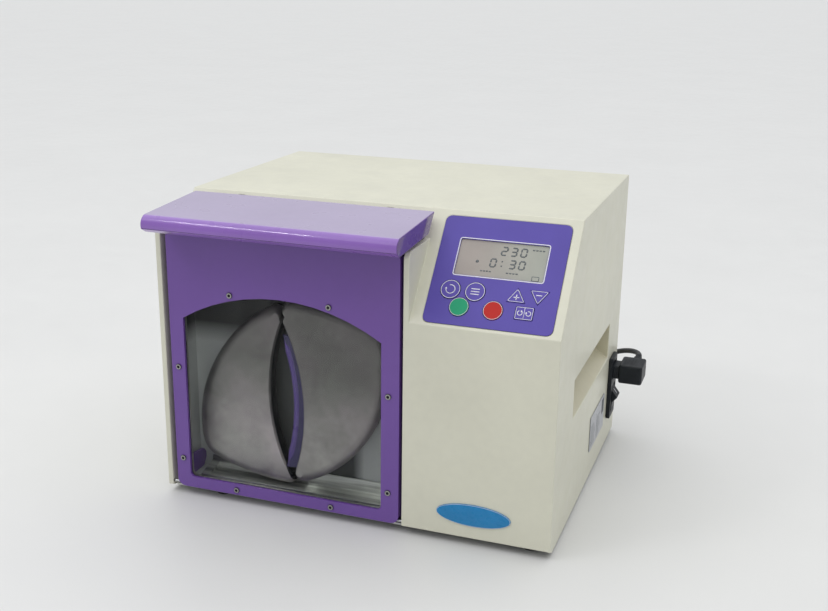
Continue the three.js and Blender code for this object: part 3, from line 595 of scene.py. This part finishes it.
# ---------------------------------------------------------------- mains lead
CORD_RADIUS = 3.0
LEAD_ROUTE = [(219.5, 180.3, 94), (219.4, 187, 94), (217, 195, 93.7), (211, 202.6, 93),
              (202, 207, 91.5), (191, 208.3, 88.5), (179.5, 208, 83.8), (169, 207.6, 76.8),
              (160, 207.2, 67.6), (152.5, 206.8, 57), (146, 206.5, 43.5), (138.5, 206.4, 30),
              (129, 206.4, 18), (117, 206.4, 9), (103, 206.4, 4.2), (90, 206.4, 3.2),
              (84.2, 206.4, 3.2)]
TAIL_ROUTE = [(35.6, 206.4, 7.6), (24, 206.4, 5.4), (10, 206.4, 3.7), (-6, 206.4, 3.2),
              (-22, 206.4, 3.6), (-36, 206.4, 5.6), (-47, 206.4, 7.3), (-55.4, 206.4, 7.5)]
COIL = {"x": 60, "y": 250, "outer": 43.5, "pitch": 6.0, "turns": 7, "floor": 3.2, "layer": 6.0}
TURN_POINTS = 16


def smoothstep(t):
    t = min(1.0, max(0.0, t))
    return t * t * (3 - 2 * t)


def coil_point(turn):
    """Turns wind inwards on the bench, climb at the middle, and wind outwards on top."""
    half = COIL["turns"] / 2
    radius = COIL["outer"] - COIL["pitch"] * (half - abs(turn - half))
    angle = radians(-90 - 360 * turn)
    return (COIL["x"] + radius * cos(angle), COIL["y"] + radius * sin(angle),
            COIL["floor"] + COIL["layer"] * smoothstep(2 * (turn - half) + 0.5))


def mains_lead():
    """One cord from the inlet's plug to the mains plug, wound into a coil behind the machine."""
    turns = [coil_point(i / TURN_POINTS) for i in range(COIL["turns"] * TURN_POINTS + 1)]
    route = LEAD_ROUTE + turns + TAIL_ROUTE
    curve = bpy.data.curves.new("mains_lead", "CURVE")
    curve.dimensions = "3D"
    curve.bevel_depth = mm(CORD_RADIUS)
    curve.bevel_resolution = 5
    curve.resolution_u = 4
    spline = curve.splines.new("BEZIER")
    spline.bezier_points.add(len(route) - 1)
    for knot, spot in zip(spline.bezier_points, route):
        knot.co = mm(*spot)
        knot.handle_left_type = knot.handle_right_type = "AUTO"
    curve.materials.append(LOOKS["cord_pvc"])
    lead = bpy.data.objects.new("mains_lead", curve)
    show(lead)
    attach(lead, "housing")
    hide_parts("power_cord", "cord_coil", "cord_tail")
    return lead


TIE_SECTION = ((-5, 0.6), (-4.6, 0.9), (4.6, 0.9), (5, 0.6))  # places across it, and slack there
TIE_BASE, TIE_FLOOR, TIE_CORNER = -0.2, 0.02, 2.6


def coil_tie():
    """A strap round all the turns at the coil's far side, flat under them on the bench."""
    inner = COIL["outer"] - COIL["pitch"] * COIL["turns"] / 2 - CORD_RADIUS
    outer = COIL["outer"] + CORD_RADIUS
    top = COIL["floor"] + COIL["layer"] + CORD_RADIUS
    loops = []
    for x, slack in TIE_SECTION:
        loops.append([mm(COIL["x"] + x, COIL["y"] + u, max(TIE_FLOOR, w)) for u, w in
                      rounded(inner - slack, outer + slack, TIE_BASE, top + slack, TIE_CORNER)])
    return piece("coil_tie", loft(loops), LOOKS["black_rubber"], "housing")


# ---------------------------------------------------------------- plugs of the lead
def sleeve(spots, radii):
    """Rings round a path of points in metres, as wide as radii says, in millimetres."""
    count = 24
    rings = []
    for i, spot in enumerate(spots):
        ahead = (spots[min(i + 1, len(spots) - 1)] - spots[max(i - 1, 0)]).normalized()
        side = ahead.cross(Vector((0, 0, 1))).normalized()
        rise = side.cross(ahead)
        rings.append([spot + mm(radii[i]) * (cos(a) * side + sin(a) * rise)
                      for a in (2 * pi * k / count for k in range(count))])
    return loft(rings)


GROOVES, GROOVE_DEPTH = 6, 0.8
RELIEF_END = 3.7  # a strain relief's radius where the cord leaves it


def strain_relief(start, end, wide):
    """A tapered sleeve with flexing grooves, between two points in millimetres."""
    spots, radii = [], []
    for i in range(GROOVES):
        for share, cut in ((0.0, 0), (0.55, 0), (0.6, GROOVE_DEPTH), (0.95, GROOVE_DEPTH)):
            t = (i + share) / GROOVES
            spots.append(mm(*start).lerp(mm(*end), t))
            radii.append(wide + (RELIEF_END - wide) * t - cut)
    spots.append(mm(*end))
    radii.append(RELIEF_END)
    return sleeve(spots, radii)


def block(outline, z0, z1, round_by):
    """A moulded block over an outline, its top and bottom edges rounded."""
    steps = [radians(a) for a in (90, 60, 30, 0)]
    rings = [(round_by * (1 - cos(a)), z0 + round_by * (1 - sin(a))) for a in steps]
    rings += [(d, z0 + z1 - z) for d, z in reversed(rings)]
    return loft([[mm(x, y, z) for x, y in (inset(outline, d) if d else outline)] for d, z in rings])


def inlet_plug():
    """The angled connector in the inlet: a ribbed grip, a nose in the socket, a strain relief."""
    low, high = corners("iec_plug")
    exit_x, exit_y, exit_z = LEAD_ROUTE[0]
    body_x, body_y = low.x + 23, exit_y - 20
    outline = rounded(body_x, high.x, low.y, body_y, 3, 5)
    nose = rounded(low.y + 4, body_y - 8, low.z + 3, high.z - 3, 2)
    parts = [block(outline, low.z, high.z, 2.2),
             loft([[mm(x, y, z) for y, z in nose] for x in (low.x, body_x + 1)]),
             strain_relief((exit_x, body_y - 1, exit_z), (exit_x, exit_y + 2, exit_z), 6.0)]
    for i in range(4):
        x = body_x + 4.5 + 3.4 * i
        rib = rounded(x, x + 1.6, low.y + 5, body_y - 7, 0.7, 3)
        parts.append(block(rib, high.z - 1.2, high.z, 0.5))
    return crisp(piece("inlet_plug", join(parts), LOOKS["black_plastic"], "housing",
                       stands_for=["iec_plug"]))


def mains_plug_boot():
    """The strain relief where the lead enters the mains plug."""
    _, tail_y, tail_z = TAIL_ROUTE[-1]
    edge = corners("mains_plug")[1].x
    boot = strain_relief((edge - 20, tail_y, tail_z), (edge + 2, tail_y, tail_z), 6.2)
    return crisp(piece("mains_plug_boot", boot, LOOKS["black_plastic"], "housing"))


# ---------------------------------------------------------------- control panel
# Panel places are (x, s, w): x in the frame, s up the slope from its lower fold, w above the label.
LABEL_LOW = 4.5  # where the label's lower edge lies up the slope
SLOPE_OUT = -Vector(JOINTS["auto_press"]["axis"]).normalized()
SLOPE_UP = Vector((0, SLOPE_OUT.z, -SLOPE_OUT.y))
LABEL_SPOTS = [v.co for v in NODES["control_label"].data.vertices]
LABEL_FACE = max(spot.dot(SLOPE_OUT) for spot in LABEL_SPOTS)
LABEL_FOOT = min(spot.dot(SLOPE_UP) for spot in LABEL_SPOTS)
INK, INK_BASE = 0.05, 0.01  # how high print stands over a face, and where it starts


def on_panel(x, s, w):
    return (Vector((mm(x), 0, 0)) + SLOPE_UP * (LABEL_FOOT + mm(s - LABEL_LOW))
            + SLOPE_OUT * (LABEL_FACE + mm(w)))


def ink_on(node):
    """The last arguments of a slab, band or bar that is printed on a node of the panel."""
    face = (max(v.co.dot(SLOPE_OUT) for v in NODES[node].data.vertices) - LABEL_FACE) * 1000
    return face + INK_BASE, face + INK, on_panel


def key_face(node):
    """The middle (x, s) of a key, half its width, and ink_on it."""
    ups = [v.co.dot(SLOPE_UP) for v in NODES[node].data.vertices]
    low, high = corners(node)
    middle = ((min(ups) + max(ups)) / 2 - LABEL_FOOT) * 1000 + LABEL_LOW
    return (low.x + high.x) / 2, middle, (high.x - low.x) / 2, ink_on(node)


def triangle(x, s, half, rise, point_up):
    """A triangle with rounded corners, anticlockwise."""
    tips = [(x - half, s - rise), (x + half, s - rise), (x, s + rise)]
    if not point_up:
        tips = [(x + half, s + rise), (x - half, s + rise), (x, s - rise)]
    outline = []
    for i, tip in enumerate(tips):
        before, after = Vector(tips[i - 1]), Vector(tips[(i + 1) % 3])
        tip = Vector(tip)
        enter, leave = (before - tip).normalized(), (after - tip).normalized()
        outline += [tip + enter * 1.6, tip + (enter + leave) * 0.55, tip + leave * 1.6]
    return outline


def printed(name, meshes, body, look=WHITE_INK):
    piece(name, join(meshes), look, body)


def sweep_arrow(x, s, radius, clockwise, ink):
    """An open ring with an arrow head, as for a repeating or turning motion."""
    sign = -1 if clockwise else 1
    count, width = 20, 0.75
    angles = [radians(110 + sign * 290 * i / count) for i in range(count + 1)]
    outer = [(x + radius * cos(a), s + radius * sin(a)) for a in angles]
    inner = [(x + (radius - width) * cos(a), s + (radius - width) * sin(a)) for a in angles]
    ring = slab(outer + inner[::-1], *ink)
    tip = Vector((x, s)) + (radius - width / 2) * Vector((cos(angles[-1]), sin(angles[-1])))
    ahead = sign * Vector((-sin(angles[-1]), cos(angles[-1])))
    side = Vector((-ahead.y, ahead.x))
    head = [tip + ahead * 1.7, tip + side * 1.2, tip - side * 1.2]
    return [ring, slab(head, *ink)]


def key_prints():
    """The white rings and signs on the keys, each riding on its own key."""
    for key, line in (("auto", 0.55), ("program", 0.55), ("start", 0.4), ("stop", 0.4)):
        x, s, half, ink = key_face(f"key_{key}")
        parts = [band(circle(x, s, half - 0.15, 64), line, *ink)]
        if key == "auto":
            parts += sweep_arrow(x, s, 4.6, True, ink)
        if key == "program":
            parts += [bar(x - 4, s + rise, x + 4, s + rise, 0.9, *ink) for rise in (-2.6, 0, 2.6)]
        printed(f"key_{key}_print", parts, f"{key}_button")
    for key, up in (("up", True), ("down", False)):
        x, s, half, ink = key_face(f"key_{key}")
        middle = s - 2.2 if up else s + 2.2
        parts = [band(triangle(x, s, half - 0.3, 6.4, up), 0.45, *ink),
                 bar(x - 2.7, middle, x + 2.7, middle, 0.9, *ink)]
        if up:
            parts.append(bar(x, middle - 2.7, x, middle + 2.7, 0.9, *ink))
        printed(f"key_{key}_print", parts, f"{key}_button")
    x, s, half, ink = key_face("key_direction")
    half -= 0.2
    parts = [band(rounded(x - half, x + half, s - 5.8, s + 5.8, 1), 0.45, *ink),
             bar(x, s - 5.4, x, s + 5.4, 0.45, *ink)]
    parts += sweep_arrow(x - half / 2, s, 2.5, False, ink)
    parts += sweep_arrow(x + half / 2, s, 2.5, True, ink)
    printed("key_direction_print", parts, "direction_button")


# ---------------------------------------------------------------- display
SEGMENTS = {"0": "abcdef", "2": "abged", "3": "abgcd"}
DIGIT = {"wide": 6.4, "high": 9.4, "stroke": 1.5, "gap": 0.12, "lean": 0.07}
# Figures as sign, x and s; dots as x, s, radius and points; words as first x, last x and s.
FIGURES = (("2", 124.0, 77.4), ("3", 133.0, 77.4), ("0", 142.0, 77.4),
           ("0", 115.6, 64.8), ("3", 133.6, 64.8), ("0", 142.4, 64.8))
DOTS = ((127.2, 67.0, 0.8, 16), (127.2, 71.6, 0.8, 16), (104.1, 69.6, 1.5, 24))
WORDS = ((152.9, 165.0, 85.7), (108.6, 119.4, 60.6), (132.8, 144.6, 60.6))
WORD_BARS, WORD_FILL = 4, 0.72
BATTERY = (156.8, 163.8, 55.2, 60.0)
OPENING = (83.9, 169.2, 53.0, 92.0)


def digit(sign, x, s, ink):
    """A seven-segment figure whose lower left corner is at (x, s)."""
    wide, tall, stroke = DIGIT["wide"], DIGIT["high"], DIGIT["stroke"]
    half, gap = stroke / 2, DIGIT["gap"]
    left, right, base, middle, top = half, wide - half, half, tall / 2, tall - half
    ends = {"a": (left, top, right, top), "b": (right, top, right, middle),
            "c": (right, middle, right, base), "d": (left, base, right, base),
            "e": (left, base, left, middle), "f": (left, middle, left, top),
            "g": (left, middle, right, middle)}
    parts = []
    for name in SEGMENTS[sign]:
        u0, v0, u1, v1 = ends[name]
        a, b = Vector((u0, v0)), Vector((u1, v1))
        along = (b - a).normalized()
        side = Vector((-along.y, along.x)) * half
        a, b = a + along * gap, b - along * gap
        outline = [a, a + along * half - side, b - along * half - side,
                   b, b - along * half + side, a + along * half + side]
        leaning = [(x + u + v * DIGIT["lean"], s + v) for u, v in outline]
        parts.append(slab(leaning, *ink))
    return parts


def display_print():
    """A speed, a time, small bars where the words would be, and the white line round the display."""
    ink = ink_on("lcd_display")
    parts = []
    for sign, x, s in FIGURES:
        parts += digit(sign, x, s, ink)
    for x, s, radius, count in DOTS:
        parts.append(slab(circle(x, s, radius, count), *ink))
    for x0, x1, s in WORDS:
        step = (x1 - x0) / WORD_BARS
        for i in range(WORD_BARS):
            parts.append(bar(x0 + i * step, s, x0 + (i + WORD_FILL) * step, s, 1.3, *ink))
    parts.append(band(rounded(*BATTERY, 0.4, 2), 0.7, *ink))
    printed("display_figures", parts, "housing", LCD_INK)
    line = band(rounded(*OPENING, 2.6), 0.9, INK_BASE, INK, on_panel)
    printed("display_line", [line], "housing")


# ---------------------------------------------------------------- paddles
PADDLE_X, PADDLE_Z = -78.5, 115
# Each outline is given as the left paddle's; the right one is then turned half round.
LEFT_PADDLE = {"bow": (200, -21.5, 0), "low": -76, "high": 74, "back": -66, "rear": -105}
RIGHT_PADDLE = {"bow": (205, -18.4, 12), "low": -78, "high": 73, "back": -74, "rear": -107.5}
RIM = {"radius": 195, "x": 6.5, "z": -8, "low": -74, "high": 62, "inner": 24, "front": 5,
       "thick": 5}
BEAD = 3.5  # half the width of the rim's bead
BEAD_DEEP = 2.4  # half its depth
EDGE_WIDE, EDGE_DEEP = 11, 9  # how far the round edge reaches in over the face, and back from it
FOOT, TIP = (-6.5, -90, 9.5), (-17.5, 79, 9.3)  # (x, z, radius) of a paddle's rounded ends
ROUND_SIDE, ROUND_SOLE, ROUND_HOLLOW = 1.0, 0.95, 0.25  # shares of that round edge, by side


def paddle_outline(shape):
    """A paddle's anticlockwise outline round the middle of the pair, and how round each edge is."""
    radius, x, z = shape["bow"]
    lower = degrees(asin((z - shape["low"]) / radius))
    upper = degrees(asin((shape["high"] - z) / radius))
    turn = 14  # points round the foot and the tip
    foot = arc(*FOOT, -90, 45, turn)
    hollow = arc(radius + x, z, radius, 180 + lower, 180 - upper, 30)
    tip = arc(*TIP, -15, 119, turn)
    rear = shape["rear"]
    back = bezier(tip[-1], (shape["back"], 66), (rear, 10), (rear, -43), 36)
    heel = bezier(back[-1], (rear, -68), (-102, -78), (-84, -84.5), 16)
    sole = bezier(heel[-1], (-64, -92), (-36, -99.5), (-6.5, -99.5), 20)[:-1]
    ramp = [smoothstep(i / turn) for i in range(turn + 1)]
    softness = [ROUND_SOLE - (ROUND_SOLE - ROUND_HOLLOW) * t for t in ramp]
    softness += [ROUND_HOLLOW] * len(hollow)
    softness += [ROUND_HOLLOW + (ROUND_SIDE - ROUND_HOLLOW) * t for t in ramp]
    softness += [ROUND_SIDE] * (len(back) + len(heel)) + [ROUND_SOLE] * len(sole)
    return foot + hollow + tip + back + heel + sole, softness


def bow_place(shape, turned):
    """The (x, z, radius) of the circle that a paddle's hollow side follows."""
    sign = -1 if turned else 1
    radius, x, z = shape["bow"]
    return PADDLE_X + sign * (radius + x), PADDLE_Z + sign * z, radius


def paddle(node, body, shape, turned):
    """A thick plate with a wide round edge, sharper along its hollow side."""
    sign = -1 if turned else 1
    low, high = corners(node)
    outline, softness = paddle_outline(shape)
    outline = [(PADDLE_X + sign * x, PADDLE_Z + sign * z) for x, z in outline]
    edge = [(2.5, high.y), (0.7, high.y - 0.7), (0.0, high.y - 2.5)]
    for angle in range(0, 91, 15):
        a = radians(angle)
        edge.append((EDGE_WIDE * (1 - cos(a)), low.y + EDGE_DEEP * (1 - sin(a))))
    rings = [[mm(x, y, z) for x, z in inset(outline, [d * soft for soft in softness])]
             for d, y in edge]
    crisp(piece(f"{node}_plate", loft(rings), OWN_LOOKS[node], body,
                stands_for=[node]))


def paddle_rim():
    """The bright bead along the right paddle's hollow side, and the flange that carries it, painted
    dark navy as shade between bead and paddle.
    """
    centre_x, centre_z = PADDLE_X + RIM["x"] - RIM["radius"], PADDLE_Z + RIM["z"]
    lower = degrees(asin((RIM["z"] - RIM["low"]) / RIM["radius"]))
    upper = degrees(asin((RIM["high"] - RIM["z"]) / RIM["radius"]))
    front = corners("paddle_right")[0].y + RIM["front"]
    middle = front + RIM["thick"] / 2
    count = 40
    outline = arc(centre_x, centre_z, RIM["radius"] + BEAD, -lower, upper, count)
    rings = []
    for i, (x, z) in enumerate(outline):
        out = Vector((x - centre_x, z - centre_z)).normalized()
        full = smoothstep(min(i, count - i) / 5) * 0.8 + 0.2
        rings.append([mm(x + out.x * BEAD * full * cos(a), middle + BEAD_DEEP * full * sin(a),
                         z + out.y * BEAD * full * cos(a))
                      for a in (pi * k / 8 for k in range(16))])
    piece("paddle_rim_bead", loft(rings), DEEP_PURPLE, "right_paddle")
    inner = PADDLE_X + RIM["inner"]
    outline += [(inner, PADDLE_Z + RIM["high"]), (inner, PADDLE_Z + RIM["low"])]
    # its dark navy is painted shade
    flange = slab(outline, front + 1, front + RIM["thick"] - 1, lambda x, z, y: mm(x, y, z))
    crisp(piece("paddle_rim_flange", flange, FLANGE_SHADE_NAVY, "right_paddle"))


# ---------------------------------------------------------------- small parts on the front and side
def socket_screw(node):
    """A domed screw head with a hexagon socket, in place of the CAD one."""
    low, high = corners(node)
    x, z = (low.x + high.x) / 2, (low.z + high.z) / 2
    radius, front = (high.x - low.x) / 2, low.y
    count = 36
    around = [2 * pi * i / count for i in range(count)]

    def ring(reach, y):
        return [mm(x + reach * cos(a), y, z + reach * sin(a)) for a in around]

    def hexagon(reach, y):
        flat = reach * cos(pi / 6)
        spots = []
        for a in around:
            r = flat / cos((a + pi / 6) % (pi / 3) - pi / 6)
            spots.append(mm(x + r * cos(a), y, z + r * sin(a)))
        return spots

    seat = front + 1.2
    rings = [ring(1.5, high.y), ring(1.5, seat), ring(radius * 0.96, seat),
             ring(radius, seat - 0.15), ring(radius, front + 0.7), ring(radius * 0.9, front + 0.28),
             ring(radius * 0.72, front + 0.06), ring(radius * 0.6, front),
             hexagon(radius * 0.56, front + 0.1), hexagon(radius * 0.54, front + 0.9)]
    crisp(piece(f"{node}_head", loft(rings), SCREW_STEEL, "door", stands_for=[node]))


def front_badge():
    """A domed oval of resin with a pale edge line, and no mark on it."""
    low, high = corners("name_badge")
    x, z = (low.x + high.x) / 2, (low.z + high.z) / 2
    half, rise = (high.x - low.x) / 2, (high.z - low.z) / 2
    around = [2 * pi * i / 96 for i in range(96)]

    def ring(shrink, y):
        return [mm(x + (half - shrink) * cos(a), y, z + (rise - shrink) * sin(a))
                for a in around]

    dome = [(0, high.y), (0, low.y + 0.5), (0.35, low.y + 0.22), (1.1, low.y + 0.1),
            (3.5, low.y + 0.03), (7.0, low.y)]
    crisp(piece("badge_dome", loft([ring(d, y) for d, y in dome]), LOOKS["badge_blue"], "housing",
                stands_for=["name_badge"]))
    line = [(0.3, low.y + 0.24), (0.3, low.y + 0.17), (0.55, low.y + 0.12), (0.55, low.y + 0.21)]
    piece("badge_line", loft([ring(d, y) for d, y in line], capped=False), WHITE_INK, "housing")


RATING_MARGIN, RATING_ROWS, RATING_PITCH, RATING_BOX = 3, 7, 3.4, 12
RATING_COLUMNS = ((0.0, 0.34), (0.42, 0.3))  # each one's start and width, in shares of the plate


def rating_print():
    """Rows of plain bars and a dark box where the data plate would be printed."""
    low, high = corners("rating_plate")
    left, right, top = low.y + RATING_MARGIN, high.y - RATING_MARGIN, high.z - RATING_MARGIN

    def on_plate(u, v, w):
        return mm(high.x + w, u, v)

    parts = []
    for row in range(RATING_ROWS):
        v = top - 9 - row * RATING_PITCH
        for column, (start, share) in enumerate(RATING_COLUMNS):
            end = start + share * (0.7 + 0.3 * ((row * 5 + column * 3) % 4) / 3)
            parts.append(bar(left + (right - left) * start, v, left + (right - left) * end, v, 0.8,
                             INK_BASE, INK, on_plate))
    middle, inner = (low.z + high.z) / 2, right - RATING_BOX
    parts.append(slab([(inner, middle), (right, middle), (right, top), (inner, top)],
                      INK_BASE, INK, on_plate))
    printed("rating_bars", parts, "housing", GREY_INK)


ROCKER_TOP, ROCKER_TIP = (197.5, 70.5), (205.5, 60)  # (x, z) of the ends of the rocker's upper face


def switch_mark():
    """The moulded white stroke on the upper face of the switch's rocker."""
    low, high = corners("rocker_switch")
    middle = (low.y + high.y) / 2
    top, tip = Vector(ROCKER_TOP), Vector(ROCKER_TIP)
    down = (tip - top).normalized()
    out = Vector((-down.y, down.x))
    length = (tip - top).length

    def on_rocker(u, v, w):
        spot = top + down * v + out * w
        return mm(spot.x, middle + u, spot.y)

    stroke = slab(rounded(-0.8, 0.8, length * 0.28, length * 0.74, 0.7), 0.0, 0.06, on_rocker)
    piece("switch_mark", stroke, WHITE_INK, "power_rocker")


# ---------------------------------------------------------------- CAD nodes that stay
EDGE_ROUND = 0.15  # millimetres of rounding on an edge, unless SOFTENED says otherwise
SOFTENED = {
    "outer_cover": 0.9, "handle_hood": 0.8, "door_panel": 0.7, "control_label": 0.12,
    "drip_tray": 0.25, "power_inlet": 0.6, "rocker_switch": 0.5, "mains_plug": 1.2,
    "rear_panel": 0.3, "base_plate": 0.3, "chamber_liner": 0.4, "lcd_display": 0.2,
    "crankshaft": 0.4, "motor_body": 1.0, "crank_pulley": 0.4, "motor_pulley": 0.4,
    "drive_frame": 0.4, "power_supply": 1.0, "control_board": 0.1,
}
for part, rounding in (("hood_arm", 0.4), ("shaft_bush", 0.5), ("paddle_shaft", 0.5),
                       ("crank_bearing", 0.8), ("foot_front", 0.6), ("foot_rear", 0.6)):
    SOFTENED.update({f"{part}_left": rounding, f"{part}_right": rounding})
for key in ("auto", "program", "start", "stop", "up", "down", "direction"):
    SOFTENED[f"key_{key}"] = 0.2
SHARP_ANGLE = 32
# Painted shade along each paddle's hollow side: near black on the left one, dark navy on the right
# one.
LEFT_HOLLOW_SHADE = (bow_place(LEFT_PADDLE, False), (0.01, 0.01, 0.012), 0.6, 1.0)
RIGHT_HOLLOW_SHADE = (bow_place(RIGHT_PADDLE, True), (0.03, 0.03, 0.05), 0.4, 3.0)
OWN_LOOKS = {  # where a slot's own finish won't do
    "outer_cover": cover_paint(),
    "handle_hood": hood_paint(),
    "mains_plug": plug_plastic(),
    "drip_tray": tray_steel(),
    "paddle_left": paddle_metal("paddle_left_finish", LEFT_HOLLOW_SHADE),
    "paddle_right": paddle_metal("paddle_right_finish", RIGHT_HOLLOW_SHADE),
}


def finish_cad_nodes():
    """Gives every CAD node its finish, welds its facets and rounds its edges a little."""
    for name, node in NODES.items():
        slot = node.data.materials[0].name
        node.data.materials[0] = OWN_LOOKS.get(name) or LOOKS[slot]
        custom = node.data.attributes.get("custom_normal")
        if custom:
            node.data.attributes.remove(custom)
        node.data.shade_smooth()
        weld = node.modifiers.new("weld", "WELD")
        weld.merge_threshold = mm(0.01)
        if name != "door_panel":  # dissolving its facets would close the window's opening
            flat = node.modifiers.new("flat", "DECIMATE")
            flat.decimate_type = "DISSOLVE"
            flat.angle_limit = radians(0.5)
        edges = node.modifiers.new("edges", "BEVEL")
        edges.width = mm(SOFTENED.get(name, EDGE_ROUND))
        edges.segments = 3
        edges.limit_method = "ANGLE"
        edges.angle_limit = radians(SHARP_ANGLE)
        edges.use_clamp_overlap = name == "door_panel"
        node.modifiers.new("normals", "WEIGHTED_NORMAL")


# ---------------------------------------------------------------- floor and light
FLOOR_HALF = 40  # metres
SKY_COLOUR, SKY_STRENGTH = (0.955, 0.975, 1, 1), 0.55
CEILING = {"power": 1.8, "spread": 100, "aim": (0.08, 0.02, -1)}
TUBE = {"place": (-1.1, -1.2, 1.9), "aim": (-0.1, -0.17, 0.3), "size": (0.5, 0.03), "power": 3.5}


def floor():
    ground = bmesh.new()
    bmesh.ops.create_grid(ground, x_segments=1, y_segments=1, size=FLOOR_HALF)
    data = bpy.data.meshes.new("floor")
    ground.to_mesh(data)
    ground.free()
    data.materials.append(floor_finish())
    made = bpy.data.objects.new("floor", data)
    show(made)


def lamp(name, kind, power, aim):
    """A light that shines along aim."""
    light = bpy.data.objects.new(name, bpy.data.lights.new(name, kind))
    light.data.energy = power
    light.rotation_mode = "QUATERNION"
    light.rotation_quaternion = Vector(aim).to_track_quat("-Z", "Y")
    show(light)
    return light


def lights():
    world = bpy.data.worlds.new("studio")
    world.use_nodes = True
    sky = world.node_tree.nodes["Background"]
    sky.inputs["Color"].default_value = SKY_COLOUR
    sky.inputs["Strength"].default_value = SKY_STRENGTH
    bpy.context.scene.world = world
    bpy.context.scene.view_settings.view_transform = "Standard"
    ceiling = lamp("ceiling", "SUN", CEILING["power"], CEILING["aim"])
    ceiling.data.angle = radians(CEILING["spread"])
    tube = lamp("tube", "AREA", TUBE["power"], Vector(TUBE["aim"]) - Vector(TUBE["place"]))
    tube.data.shape = "RECTANGLE"
    tube.data.size, tube.data.size_y = TUBE["size"]
    tube.location = TUBE["place"]


# ---------------------------------------------------------------- everything, camera and cord first
make_camera()
lead = mains_lead()
plug = inlet_plug()
boot = mains_plug_boot()
tie = coil_tie()
finish_cad_nodes()
key_prints()
display_print()
paddle("paddle_left", "left_paddle", LEFT_PADDLE, False)
paddle("paddle_right", "right_paddle", RIGHT_PADDLE, True)
paddle_rim()
for number in range(1, 9):
    socket_screw(f"window_screw_{number}")
front_badge()
rating_print()
switch_mark()
floor()
lights()
